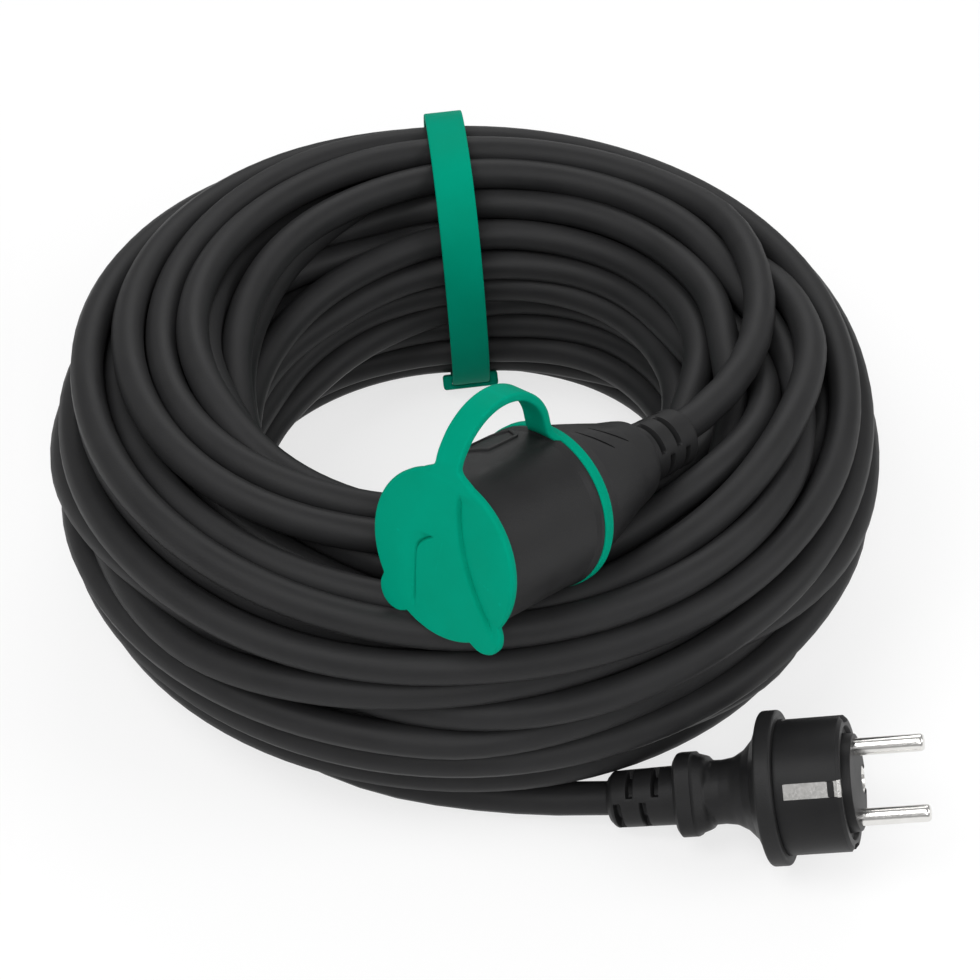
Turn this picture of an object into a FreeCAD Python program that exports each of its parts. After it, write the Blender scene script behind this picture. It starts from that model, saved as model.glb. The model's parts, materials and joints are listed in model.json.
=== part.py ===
import FreeCAD, Part
import math
import os

# Outdoor extension cord, 25 m of three-core rubber cable in a round coil.
# Row frame: millimetres, +Z up, origin on the floor at the centre of the coil's eye.
# The coupler and the plug are built in frames of their own: +X out of the mouth or along
# the pins, +Z up through the tether or along the line of the two pins.

os.makedirs("parts", exist_ok=True)
Vector = FreeCAD.Vector

# ---------------------------------------------------------------- driving dimensions
CABLE_D = 9.5            # outer diameter of the rubber cable
CORE_D = 3.0             # insulated core
CORE_LEAD = 3.0          # straight length out of the cable's end
SOFT_GAP = 0.3           # between a soft or moving piece and its neighbour
SEAT_GAP = 0.05          # radial clearance of pieces that seat in each other

# coil
COIL_OUTER_R = 123.0
COIL_EYE_R = 56.3        # mean radius of the eye
COIL_EYE_SKEW = 6.4      # the eye is a rounded diamond: wider on one diagonal
COIL_H = 93.8            # mean height of the bundle
COIL_LEAN = 7.5          # the bundle stands higher on one side
COIL_LEAN_AZ = 241.5     # azimuth of the high side, degrees
COIL_STEPS = 32
COIL_RING_STEPS = 16     # a multiple of four, so that a point lies on the floor
CAP_HOLLOW = 60.0        # room left in the bundle in front of the cap
CAP_HOLLOW_BACK = 5.0

# coupler
COUPLER_MOUTH = Vector(-4.3, -111.4, 107.5)
COUPLER_AZ = 227.0
COUPLER_EL = 13.0
COUPLER_ROLL = 8.5       # its tether leans off the vertical
MOUTH_R = 19.1           # guide band of the recess that takes the plug
MOUTH_DEPTH = 17.5
MOUTH_RIM_R = 19.9       # wider at the mouth, round the cap's boss
MOUTH_RIM_X = -4.2
MOUTH_FLOOR_R = 19.5     # wider at the floor, where the clips come out
MOUTH_FLOOR_X = -13.5
MOUTH_CHAMFER = 0.6
CUP_WALL = 2.65
RING_X = -37.2           # middle of the cap ring's groove
RING_W = 3.6
RING_T = 1.9
RING_GROOVE = 0.9
LIP_W = 1.2
LIP_H = 0.5
SHOULDER = [(5.0, 19.6), (18.0, 14.6), (30.0, 10.8)]     # behind the ring's groove, radius
SHOULDER_END = -81.0
NECK_R = 9.6
SHOULDER_WALL = 3.0
CARRIER_R = 18.0
CARRIER_L = 21.0
MARK_X = -25.5           # middle of the bare marking window on the cup
MARK_L = 17.0
MARK_W = 9.0
MARK_LINE = 0.8
MARK_H = 0.35
MARK_AZ = 20.0           # its place round the cup, degrees from the top
GRIP_FRONT = 9.0         # three short grooves on the shoulder, from the ring's groove
GRIP_BACK = 24.0
GRIP_W = 1.0
GRIP_PITCH = 4.2
GRIP_FLOOR = [(6.0, 17.6), (26.0, 10.4)]

# pins and contacts, the same in the plug and the coupler
PIN_D = 4.8
PIN_L = 19.0
PIN_PITCH = 19.0
PIN_SHANK_R = 2.1        # inside the carrier
PIN_NOSE = 1.3
CONTACT_WALL = 0.8
CONTACT_L = 15.0
CRIMP_R = 2.3
CRIMP_L = 6.5

# earth clips in the coupler's mouth
CLIP_W = 5.0
CLIP_T = 0.5
CLIP_ROOT_R = 16.9       # inner face at the hinge
CLIP_BUMP_R = 18.95      # inner face at the bump that wipes the plug
CLIP_ROOT_X = -21.0
CLIP_BUMP_X = -8.0
CLIP_TIP_X = -4.5
CLIP_ROOM = 1.9          # depth of the clip's pocket behind the mouth wall
CLIP_POCKET_IN = 9.0     # the pocket's cut starts this far inside the wall

# dust cap, ring and tether
CAP_R = 23.4
CAP_T = 2.2
CAP_GAP = 0.2
CAP_DOME = 1.0
BOSS_DEPTH = 4.0
BOSS_ROOT_R = 19.5
BOSS_TIP_R = 19.0
BOSS_WALL = 1.6
EAR_R = 5.6
EAR_INSET = 1.2          # ear's centre inside the cap's edge
EAR_AZ = 138.0           # from the top, each way
SCOOP_DEPTH = 0.8
SCOOP_BAR = 5.5          # half width of the bar left between the two scoops
HINGE_Z = 24.5
TETHER_W = 7.5
TETHER_T = 2.4
TETHER_FOOT_Z = 24.0
TETHER_END_Z = 26.0
ARCH_R = 17.3            # centre line of the tether's arch
ARCH_X = -15.5
ARCH_Z = 21.8

# strain reliefs
RELIEF_BORE = CABLE_D / 2 + SEAT_GAP
RELIEF_SLOT = 1.5
RELIEF_PITCH = 6.0
RELIEF_CORE_R = 6.0      # what the slots leave round the cable
COUPLER_RELIEF_L = 17.0
COUPLER_RELIEF_R = 8.2
COUPLER_RELIEF_TIP_R = 6.6
RELIEF_SPIGOT_L = 8.0
RELIEF_SPIGOT_R = 7.4

# plug
PLUG_FLANGE_R = 21.25
PLUG_FLANGE_T = 6.0
PLUG_AZ = -8.0
PLUG_EL = 16.5
PLUG_ROLL = 135.0        # turned about its own axis as it lies
PLUG_X = 88.2            # centre of the flange's front face
PLUG_Y = -115.8
PLUG_BODY_R = 18.6
PLUG_BODY_L = 18.0
PLUG_CHAMFER = 0.9
PLUG_WAIST_R = 9.4
PLUG_WAIST_X = -15.5
COLLAR_BACK = -28.6
COLLAR_FRONT = -21.4
COLLAR_LONG = 11.5       # half height along the pin line
COLLAR_WIDE = 9.9
PLUG_RELIEF_L = 20.6
PLUG_RELIEF_R = 8.0
PLUG_RELIEF_TIP_R = 7.3
GUIDE_W = 6.4
GUIDE_DEPTH = 2.2
EARTH_W = 4.6
EARTH_T = 0.8
EARTH_HOOK = 2.2
EARTH_X0 = 2.6           # front of the flange to the earth strip's bar
EARTH_OFFSET = 10.0      # earth socket below the pin line
EARTH_HOLE_R = 2.6

# tie strap
STRAP_W = 12.0
STRAP_T = 2.0
STRAP_X = -2.2
STRAP_Y = 88.5
STRAP_AZ = 104.0
STRAP_HALF_W = 36.0      # half width and half height of the strap's loop, outside
STRAP_HALF_H = 44.6
KEEPER_W = 18.0
KEEPER_L = 5.0
KEEPER_T = 1.5
KEEPER_AZ = -56.0        # place on the loop, from the inward side, downwards
STRAP_REACH = 90.0       # the strap's groove in the coil runs out to here

# leads, as routes of points
COUPLER_LEAD_ROUTE = [(82.5, -10.0, 86.0), (87.4, 24.7, 84.5), (80.5, 57.0, 83.0)]
PLUG_LEAD_ROUTE = [(-80.0, -62.0, 6.5), (-55.0, -82.5, 4.9), (-26.0, -99.4, 4.85), (6.3, -105.8, 4.9)]

# ---------------------------------------------------------------- helpers


def local_frame(origin, azimuth, elevation, roll=0.0):
    """Placement whose +X points at the given azimuth and elevation."""
    turn = FreeCAD.Rotation(Vector(0, 0, 1), azimuth)
    turn = turn.multiply(FreeCAD.Rotation(Vector(0, 1, 0), -elevation))
    turn = turn.multiply(FreeCAD.Rotation(Vector(1, 0, 0), roll))
    return FreeCAD.Placement(origin, turn)


def placed(shape, frame):
    return shape.transformed(frame.toMatrix(), True)


def revolve_x(profile):
    """Solid of revolution about X from (x, r) points joined by straight lines."""
    points = [Vector(x, 0, r) for x, r in profile]
    face = Part.Face(Part.makePolygon(points + [points[0]]))
    return face.revolve(Vector(0, 0, 0), Vector(1, 0, 0), 360)


def revolve_outline(edges):
    """Solid of revolution about X from a closed list of edges in the XZ plane."""
    return Part.Face(Part.Wire(edges)).revolve(Vector(0, 0, 0), Vector(1, 0, 0), 360)


def line(a, b):
    return Part.LineSegment(a, b).toShape()


def spline(points):
    curve = Part.BSplineCurve()
    curve.interpolate(Points=points)
    return curve.toShape()


def rod_x(radius, x0, x1, y=0.0, z=0.0):
    return Part.makeCylinder(radius, x1 - x0, Vector(x0, y, z), Vector(1, 0, 0))


def cone_x(r0, r1, x0, x1):
    return Part.makeCone(r0, r1, x1 - x0, Vector(x0, 0, 0), Vector(1, 0, 0))


def box(x0, x1, y0, y1, z0, z1):
    return Part.makeBox(x1 - x0, y1 - y0, z1 - z0, Vector(x0, y0, z0))


def turned_x(shape, degrees):
    copy = shape.copy()
    copy.rotate(Vector(0, 0, 0), Vector(1, 0, 0), degrees)
    return copy


def route_edges(points, name=""):
    """Straight runs joined by tangent arcs, each as large as its two runs allow."""
    edges = []
    last = points[0]
    radii = []
    for before, corner, after in zip(points, points[1:], points[2:]):
        back = (before - corner).normalize()
        ahead = (after - corner).normalize()
        half = (math.pi - back.getAngle(ahead)) / 2
        reach = 0.45 * min((before - corner).Length, (after - corner).Length)
        radius = reach / math.tan(half)
        radii.append(radius)
        start = corner + back * reach
        end = corner + ahead * reach
        bisector = (back + ahead).normalize()
        middle = corner + bisector * (radius / math.cos(half) - radius)
        if (start - last).Length > 0.001:
            edges.append(line(last, start))
        edges.append(Part.Arc(start, middle, end).toShape())
        last = end
    edges.append(line(last, points[-1]))
    if name:
        print(name, "arc radii", [round(r, 1) for r in radii])
    return edges


def tube(points, diameter, name=""):
    """Round bar along a route, its volume compared with section times length."""
    edges = route_edges(points, name)
    path = Part.Wire(edges)
    start = points[0]
    circle = Part.Circle(start, (points[1] - points[0]).normalize(), diameter / 2)
    solid = path.makePipeShell([Part.Wire([circle.toShape()])], True, True)
    if name:
        ideal = math.pi * diameter ** 2 / 4 * path.Length
        print(name, "length", round(path.Length, 1), "volume ratio", round(solid.Volume / ideal, 4))
    return solid


def channel(points, radius):
    """Eight-sided bar round a route, no closer to it than the radius."""
    along = (points[1] - points[0]).normalize()
    side = along.cross(Vector(0, 0, 1)).normalize()
    up = side.cross(along)
    corners = []
    for k in range(8):
        angle = math.radians(22.5 + 45 * k)
        reach = radius / math.cos(math.radians(22.5))
        corners.append(points[0] + side * (reach * math.cos(angle)) + up * (reach * math.sin(angle)))
    section = Part.makePolygon(corners + [corners[0]])
    return Part.Wire(route_edges(points)).makePipeShell([section], True, True)


def facet_cone(r0, r1, x0, x1, sides=16):
    """Cone along X with flat sides, none closer to the axis than its radius."""
    rings = []
    for x, radius in ((x0, r0), (x1, r1)):
        reach = radius / math.cos(math.pi / sides)
        angles = [2 * math.pi * (k + 0.5) / sides for k in range(sides)]
        corners = [Vector(x, reach * math.cos(angle), reach * math.sin(angle)) for angle in angles]
        rings.append(Part.makePolygon(corners + [corners[0]]))
    return Part.makeLoft(rings, True, True)


def facet_rod(radius, x0, x1):
    return facet_cone(radius, radius, x0, x1)


def export(name, shape):
    if shape.ShapeType == "Compound" and len(shape.Solids) == 1:
        shape = shape.Solids[0]
    if not shape.isValid() or shape.Volume <= 0:
        print("INVALID", name)
    shape.exportStep("parts/" + name + ".step")
    print(name, len(shape.Solids), round(shape.Volume, 1))


# ---------------------------------------------------------------- shared sub-parts


def relief_slots(x0, x1, outer_r):
    """Half-ring slots, the upper and the lower row half a pitch apart."""
    cuts = []
    count = int((x1 - x0 - 2.0) / RELIEF_PITCH)
    for row, side in ((0, 1), (1, -1)):
        for k in range(count):
            x = x0 + 2.2 + k * RELIEF_PITCH + row * RELIEF_PITCH / 2
            ring = rod_x(outer_r + 1.0, x, x + RELIEF_SLOT).cut(rod_x(RELIEF_CORE_R, x - 1, x + 3))
            rib = 1.6
            low, high = (rib, outer_r + 2) if side > 0 else (-outer_r - 2, -rib)
            cuts.append(ring.common(box(x - 1, x + 3, -outer_r - 2, outer_r + 2, low, high)))
    return cuts


def strain_relief(front, length, root_r, tip_r, frame, lead):
    """Slotted sleeve on the cable as it leaves a moulding, with a spigot that seats inside it."""
    back = front - length
    nose = 1.2
    sleeve = revolve_x([(front + RELIEF_SPIGOT_L, 0), (front + RELIEF_SPIGOT_L, RELIEF_SPIGOT_R),
                        (front, RELIEF_SPIGOT_R), (front, root_r), (back + nose, tip_r),
                        (back, tip_r - nose), (back, 0)])
    for cut in relief_slots(back + nose, front, root_r):
        sleeve = sleeve.cut(cut)
    return placed(sleeve, frame).cut(tube(lead, 2 * RELIEF_BORE))


def contact_sleeve(front, y):
    """Split spring sleeve for a pin, with the crimp barrel for its core behind it."""
    outer_r = PIN_D / 2 + CONTACT_WALL
    back = front - CONTACT_L
    sleeve = rod_x(outer_r, back, front, y).cut(rod_x(PIN_D / 2, back + 1.5, front + 1, y))
    slit = box(front - 9.0, front + 1, y - 0.4, y + 0.4, 0, outer_r + 1)
    barrel = rod_x(CRIMP_R, back - CRIMP_L, back, y)
    barrel = barrel.cut(rod_x(CORE_D / 2, back - CRIMP_L - 1, back - 1.0, y))
    return sleeve.cut(slit).fuse(barrel)


def core(start, end, barrel):
    """Insulated core from inside its crimp barrel to the cable's end face."""
    along = Vector(1, 0, 0)
    points = [start, start - along * barrel, end + along * CORE_LEAD, end]
    circle = Part.Circle(start, along, CORE_D / 2)
    return Part.makePolygon(points).makePipeShell([Part.Wire([circle.toShape()])], True, False, 1)


# ---------------------------------------------------------------- coupler

CUP_R = MOUTH_R + CUP_WALL
CARRIER_BACK = -MOUTH_DEPTH - CARRIER_L
COUPLER_CRIMP_BACK = -MOUTH_DEPTH - 2.0 - CONTACT_L - CRIMP_L
COUPLER_CABLE_X = SHOULDER_END + RELIEF_SPIGOT_L + 6.0
COUPLER_FRAME = local_frame(COUPLER_MOUTH, COUPLER_AZ, COUPLER_EL, COUPLER_ROLL)


def clip_pocket():
    half = CLIP_W / 2 + 0.4
    return box(-MOUTH_DEPTH - 0.2, -2.4, -half, half, MOUTH_R - CLIP_POCKET_IN, MOUTH_R + CLIP_ROOM)


def shoulder_points():
    """Profile from the ring's groove to the neck."""
    back = RING_X - RING_W / 2 - SEAT_GAP
    return [(back, CUP_R - 0.2)] + [(back - x, r) for x, r in SHOULDER] + [(SHOULDER_END, NECK_R)]


def coupler_body():
    groove_r = CUP_R - RING_GROOVE
    front = RING_X + RING_W / 2 + SEAT_GAP
    back = RING_X - RING_W / 2 - SEAT_GAP
    rim = 0.8
    lip = CUP_R + LIP_H
    a = [Vector(0, 0, MOUTH_RIM_R + MOUTH_CHAMFER), Vector(0, 0, CUP_R - rim), Vector(-rim, 0, CUP_R),
         Vector(front + 2.6, 0, CUP_R), Vector(front + LIP_W, 0, lip), Vector(front, 0, lip),
         Vector(front, 0, groove_r), Vector(back, 0, groove_r), Vector(back, 0, CUP_R - 0.2)]
    shoulder = spline([Vector(x, 0, r) for x, r in shoulder_points()])
    spigot_r = RELIEF_SPIGOT_R + SEAT_GAP
    seat = SHOULDER_END + RELIEF_SPIGOT_L
    pocket = CARRIER_R + SEAT_GAP
    b = [Vector(SHOULDER_END, 0, NECK_R), Vector(SHOULDER_END, 0, spigot_r), Vector(seat, 0, spigot_r),
         Vector(seat, 0, RELIEF_BORE), Vector(seat + 4.0, 0, RELIEF_BORE),
         Vector(CARRIER_BACK - 9.0, 0, 12.5), Vector(CARRIER_BACK - 2.0, 0, CARRIER_R - 3.0),
         Vector(CARRIER_BACK, 0, CARRIER_R - 3.0), Vector(CARRIER_BACK, 0, pocket),
         Vector(-MOUTH_DEPTH, 0, pocket), Vector(-MOUTH_DEPTH, 0, MOUTH_FLOOR_R),
         Vector(MOUTH_FLOOR_X, 0, MOUTH_FLOOR_R), Vector(MOUTH_FLOOR_X, 0, MOUTH_R),
         Vector(MOUTH_RIM_X, 0, MOUTH_R), Vector(MOUTH_RIM_X, 0, MOUTH_RIM_R),
         Vector(-MOUTH_CHAMFER, 0, MOUTH_RIM_R), a[0]]
    edges = [line(p, q) for p, q in zip(a, a[1:])] + [shoulder] + [line(p, q) for p, q in zip(b, b[1:])]
    body = revolve_outline(edges)
    for angle in (0, 180):
        body = body.cut(turned_x(clip_pocket(), angle))
    (front_x, front_r), (back_x, back_r) = GRIP_FLOOR
    floor = cone_x(back_r, front_r, back - back_x, back - front_x)
    for y in (-GRIP_PITCH, 0, GRIP_PITCH):
        x = back - abs(y) / 2
        groove = box(x - GRIP_BACK, x - GRIP_FRONT, y - GRIP_W / 2, y + GRIP_W / 2, 0, CUP_R)
        body = body.cut(groove.cut(floor))
    return body.fuse(marking_frame()).removeSplitter()


def hexagon(half_l, half_w, depth):
    corner = 0.62
    points = [Vector(-half_l, 0, 0), Vector(-half_l * corner, -half_w, 0), Vector(half_l * corner, -half_w, 0),
              Vector(half_l, 0, 0), Vector(half_l * corner, half_w, 0), Vector(-half_l * corner, half_w, 0)]
    face = Part.Face(Part.makePolygon(points + [points[0]]))
    return face.extrude(Vector(0, 0, depth))


def marking_frame():
    """Low six-sided line round the bare marking window on the cup."""
    ring = hexagon(MARK_L / 2, MARK_W / 2, CUP_R + 5)
    ring = ring.cut(hexagon(MARK_L / 2 - MARK_LINE, MARK_W / 2 - MARK_LINE, CUP_R + 5))
    ring.translate(Vector(MARK_X, 0, 0))
    shell = rod_x(CUP_R + MARK_H, RING_X, 0).cut(rod_x(CUP_R - MARK_H, RING_X - 1, 1))
    return turned_x(ring.common(shell), MARK_AZ)


def coupler_insert():
    """Hard carrier behind the recess: pin holes, contact pockets, clip and bridge grooves."""
    front = -MOUTH_DEPTH
    solid = rod_x(CARRIER_R, CARRIER_BACK, front)
    for side in (-1, 1):
        y = side * PIN_PITCH / 2
        solid = solid.cut(rod_x(PIN_D / 2 + 0.35, front - 3, front + 1, y))
        solid = solid.cut(cone_x(PIN_D / 2 + 0.3, PIN_D / 2 + 1.3, front - 1.0, front + 0.01).translated(Vector(0, y, 0)))
        solid = solid.cut(rod_x(PIN_D / 2 + CONTACT_WALL + SEAT_GAP, CARRIER_BACK - 1, front - 2.0, y))
    groove = box(CARRIER_BACK - 1, front + 1, -CLIP_W / 2 - 0.3, CLIP_W / 2 + 0.3,
                 CLIP_ROOT_R - SOFT_GAP, CARRIER_R + 1)
    for angle in (0, 180):
        solid = solid.cut(turned_x(groove, angle))
    half = CLIP_W / 2 + SEAT_GAP
    return solid.cut(box(CARRIER_BACK - 1, CARRIER_BACK + EARTH_T, -half, half, -CARRIER_R, CARRIER_R))


def earth_bridge():
    """Nickel strip across the back of the carrier, its two legs forward to the clips."""
    x = CARRIER_BACK + EARTH_T
    reach = CLIP_ROOT_R + EARTH_T
    bar = box(x - EARTH_T, x, -CLIP_W / 2, CLIP_W / 2, -reach, reach)
    leg = box(x - EARTH_T, CLIP_ROOT_X - SOFT_GAP, -CLIP_W / 2, CLIP_W / 2, CLIP_ROOT_R, reach)
    barrel = rod_x(CRIMP_R, x - CRIMP_L, x - EARTH_T)
    barrel = barrel.cut(rod_x(CORE_D / 2, x - CRIMP_L - 1, x - EARTH_T - 1.0))
    return bar.multiFuse([leg, turned_x(leg, 180), barrel]).removeSplitter()


def earth_clip(angle):
    """Sprung blade from the bridge's leg to the mouth, with the bump that wipes the plug."""
    inner = [(CLIP_ROOT_X, CLIP_ROOT_R), (-MOUTH_DEPTH, CLIP_ROOT_R + 0.1), (MOUTH_FLOOR_X, CLIP_BUMP_R + 0.1),
             (CLIP_BUMP_X, CLIP_BUMP_R), (CLIP_TIP_X, CLIP_BUMP_R + 0.25)]
    outer = [(x, z + CLIP_T) for x, z in reversed(inner)]
    points = [Vector(x, -CLIP_W / 2, z) for x, z in inner + outer]
    blade = Part.Face(Part.makePolygon(points + [points[0]])).extrude(Vector(0, CLIP_W, 0))
    return turned_x(blade, angle)


def cap_ring():
    """Band in the cup's groove, with the pad that the tether stands on."""
    inner = CUP_R - RING_GROOVE + SEAT_GAP
    outer = inner + RING_T
    band = rod_x(outer, RING_X - RING_W / 2, RING_X + RING_W / 2)
    front = ARCH_X - math.sqrt(ARCH_R ** 2 - (TETHER_FOOT_Z - ARCH_Z) ** 2) + TETHER_T / 2
    pad = box(RING_X - RING_W / 2, front, -TETHER_W / 2, TETHER_W / 2, 0, TETHER_FOOT_Z - CAP_GAP)
    pad = pad.cut(rod_x(CUP_R + LIP_H + SEAT_GAP, RING_X - 10, RING_X + 10))
    bore = rod_x(inner, RING_X - RING_W, RING_X + RING_W)
    return band.cut(bore).fuse(pad).removeSplitter()


def cap_tether():
    """Flat strap in a round arch from the ring's pad to just above the cap's edge."""
    half_w = TETHER_W / 2
    start = Vector(ARCH_X, -half_w, ARCH_Z)
    arch = Part.makeCylinder(ARCH_R + TETHER_T / 2, TETHER_W, start, Vector(0, 1, 0))
    arch = arch.cut(Part.makeCylinder(ARCH_R - TETHER_T / 2, TETHER_W, start, Vector(0, 1, 0)))
    reach = 2 * ARCH_R
    below = ARCH_Z - reach
    arch = arch.cut(box(ARCH_X - reach, ARCH_X, -reach, reach, below, TETHER_FOOT_Z))
    arch = arch.cut(box(ARCH_X, ARCH_X + reach, -reach, reach, below, TETHER_END_Z))
    return arch


def cap():
    """Dust cap: domed disc with two finger ears, two scoops and a boss that fills the mouth."""
    back = CAP_GAP
    front = back + CAP_T
    sphere_r = (CAP_R ** 2 + CAP_DOME ** 2) / (2 * CAP_DOME)
    disc = rod_x(CAP_R, back, front + CAP_DOME)
    disc = disc.common(Part.makeSphere(sphere_r, Vector(front + CAP_DOME - sphere_r, 0, 0)))
    for side in (-1, 1):
        place = turned_x(Part.Vertex(Vector(0, 0, CAP_R - EAR_INSET)), side * EAR_AZ).Point
        disc = disc.fuse(rod_x(EAR_R, back, front, place.y, place.z))
    neck = box(back, front, -TETHER_W / 2, TETHER_W / 2, CAP_R - 3.0, HINGE_Z)
    knuckle = Part.makeCylinder(CAP_T / 2, TETHER_W, Vector(back + CAP_T / 2, -TETHER_W / 2, HINGE_Z), Vector(0, 1, 0))
    scoop = rod_x(CAP_R - 3.0, front - SCOOP_DEPTH, front + 5)
    bar = box(0, front + 6, -SCOOP_BAR, SCOOP_BAR, -CAP_R, CAP_R)
    disc = disc.cut(scoop.cut(bar))
    boss = cone_x(BOSS_TIP_R, BOSS_ROOT_R, back - BOSS_DEPTH, back)
    boss = boss.cut(rod_x(BOSS_TIP_R - BOSS_WALL, back - BOSS_DEPTH - 1, back))
    return disc.multiFuse([neck, knuckle, boss]).removeSplitter()


def cable_end(frame, x):
    return frame.multVec(Vector(x, 0, 0))


def coupler_lead_points():
    start = cable_end(COUPLER_FRAME, COUPLER_CABLE_X)
    out = cable_end(COUPLER_FRAME, SHOULDER_END - COUPLER_RELIEF_L - 3.5)
    return [start, out] + [Vector(*p) for p in COUPLER_LEAD_ROUTE]


# ---------------------------------------------------------------- plug

PLUG_CENTRE_Z = (PLUG_FLANGE_R * math.cos(math.radians(PLUG_EL))
                 + PLUG_FLANGE_T * math.sin(math.radians(PLUG_EL)))
PLUG_FRAME = local_frame(Vector(PLUG_X, PLUG_Y, PLUG_CENTRE_Z), PLUG_AZ, PLUG_EL, PLUG_ROLL)
PLUG_CARRIER_R = 14.6    # the part of the hard carrier that is held in the moulding
PLUG_CARRIER_IN = -6.5
PLUG_CABLE_X = COLLAR_BACK + RELIEF_SPIGOT_L + 2.0
PLUG_PIN_BACK = -2.5
PLUG_TAIL_X = PLUG_CARRIER_IN - 0.5


def collar():
    """Grip ring behind the waist: a rounded oval, chamfered on both sides."""
    def ring(x, long, wide):
        points = []
        for k in range(8):
            angle = math.radians(22.5 + 45 * k)
            bulge = 1.06
            points.append(Vector(x, wide * bulge * math.cos(angle), long * bulge * math.sin(angle)))
        return Part.makePolygon(points + [points[0]])
    steps = [(COLLAR_BACK, 0.88), (COLLAR_BACK + 1.8, 1.0), (COLLAR_FRONT - 1.2, 1.0), (COLLAR_FRONT + 2.4, 0.84)]
    wires = [ring(x, COLLAR_LONG * s, COLLAR_WIDE * s) for x, s in steps]
    return Part.makeLoft(wires, True, True)


def plug_body():
    """Rubber moulding: flange, waist and grip collar round the carrier and the cable."""
    rim = 1.2
    flange_back = -PLUG_FLANGE_T
    a = [Vector(0, 0, 0), Vector(0, 0, PLUG_FLANGE_R - rim), Vector(-rim, 0, PLUG_FLANGE_R),
         Vector(flange_back, 0, PLUG_FLANGE_R)]
    waist = spline([a[-1], Vector(flange_back - 2.0, 0, PLUG_FLANGE_R - 4.6), Vector(-11.0, 0, 11.6),
                    Vector(PLUG_WAIST_X, 0, PLUG_WAIST_R), Vector(COLLAR_FRONT, 0, PLUG_WAIST_R + 0.2)])
    b = [Vector(COLLAR_FRONT, 0, PLUG_WAIST_R + 0.2), Vector(COLLAR_BACK, 0, PLUG_WAIST_R + 0.2),
         Vector(COLLAR_BACK, 0, 0), Vector(0, 0, 0)]
    edges = [line(p, q) for p, q in zip(a, a[1:])] + [waist] + [line(p, q) for p, q in zip(b, b[1:])]
    body = revolve_outline(edges).fuse(collar())
    inside = [rod_x(PLUG_CARRIER_R + SEAT_GAP, PLUG_CARRIER_IN, 1),
              cone_x(RELIEF_BORE, PLUG_CARRIER_R - 1.6, PLUG_CABLE_X + CORE_LEAD, PLUG_CARRIER_IN),
              rod_x(RELIEF_BORE, COLLAR_BACK, PLUG_CARRIER_IN),
              rod_x(RELIEF_SPIGOT_R + SEAT_GAP, COLLAR_BACK - 1, COLLAR_BACK + RELIEF_SPIGOT_L)]
    for cut in inside:
        body = body.cut(cut)
    return body


def plug_carrier():
    """Hard front that enters a socket: guide grooves, earth seats, pin and earth holes."""
    solid = revolve_x([(0, 0), (0, PLUG_BODY_R), (PLUG_BODY_L - PLUG_CHAMFER, PLUG_BODY_R),
                       (PLUG_BODY_L, PLUG_BODY_R - PLUG_CHAMFER), (PLUG_BODY_L, 0)])
    solid = solid.fuse(rod_x(PLUG_CARRIER_R, PLUG_CARRIER_IN, 0))
    inner = PLUG_BODY_R - GUIDE_DEPTH
    guide = box(2.2, PLUG_BODY_L + 1, -GUIDE_W / 2, GUIDE_W / 2, inner, PLUG_BODY_R + 1)
    for angle in (0, 180):
        solid = solid.cut(turned_x(guide, angle))
    solid = solid.cut(earth_bow(SEAT_GAP))
    for side in (-1, 1):
        hole = rod_x(PIN_SHANK_R + SEAT_GAP, PLUG_CARRIER_IN - 1, PLUG_BODY_L + 1, 0, side * PIN_PITCH / 2)
        solid = solid.cut(hole)
    solid = solid.cut(rod_x(PIN_SHANK_R + SEAT_GAP, PLUG_CARRIER_IN - 1, EARTH_X0))
    hole = rod_x(EARTH_HOLE_R + EARTH_T + SEAT_GAP, EARTH_X0, PLUG_BODY_L + 1, -EARTH_OFFSET)
    dish = cone_x(EARTH_HOLE_R + 1.2, EARTH_HOLE_R + 2.2, PLUG_BODY_L - 0.8, PLUG_BODY_L + 0.01)
    return solid.cut(hole).cut(dish.translated(Vector(0, -EARTH_OFFSET, 0)))


def earth_bow(gap):
    """Bent strip: two side contacts, a hook over the face at each end, a bar across the back."""
    half = EARTH_W / 2 + gap
    outer = PLUG_BODY_R - 0.15
    inner = outer - EARTH_T
    face = PLUG_BODY_L + SEAT_GAP
    tip = outer - PLUG_CHAMFER - EARTH_HOOK
    back = face - EARTH_T
    bar = EARTH_X0 + EARTH_T
    points = [(EARTH_X0 - gap, 0), (EARTH_X0 - gap, outer + gap), (face - PLUG_CHAMFER + gap, outer + gap),
              (face + gap, outer - PLUG_CHAMFER + gap), (face + gap, tip - gap), (back - gap, tip - gap),
              (back - gap, inner - gap), (bar + gap, inner - gap), (bar + gap, 0)]
    corners = [Vector(x, -half, z) for x, z in points]
    arm = Part.Face(Part.makePolygon(corners + [corners[0]])).extrude(Vector(0, 2 * half, 0))
    return turned_x(arm, 90).fuse(turned_x(arm, -90)).removeSplitter()


def earth_socket():
    """Sleeve behind the face for a socket's earth pin."""
    x0 = EARTH_X0 + EARTH_T
    sleeve = rod_x(EARTH_HOLE_R + EARTH_T, x0, PLUG_BODY_L - 0.6, -EARTH_OFFSET)
    return sleeve.cut(rod_x(EARTH_HOLE_R, x0 + 1.0, PLUG_BODY_L, -EARTH_OFFSET))


def pin(side):
    """Solid round pin: bored crimp tail, thinner shank in the carrier, rounded tip."""
    tip = PLUG_BODY_L + PIN_L
    r = PIN_D / 2
    body = revolve_x([(PLUG_TAIL_X, 0), (PLUG_TAIL_X, PIN_SHANK_R), (PLUG_BODY_L, PIN_SHANK_R),
                      (PLUG_BODY_L, r), (tip - PIN_NOSE, r), (tip - 0.3 * PIN_NOSE, 0.7 * r),
                      (tip, 0.33 * r), (tip, 0)])
    body = body.cut(rod_x(CORE_D / 2, PLUG_TAIL_X - 1, PLUG_PIN_BACK - 1))
    return body.translated(Vector(0, 0, side * PIN_PITCH / 2))


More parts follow.
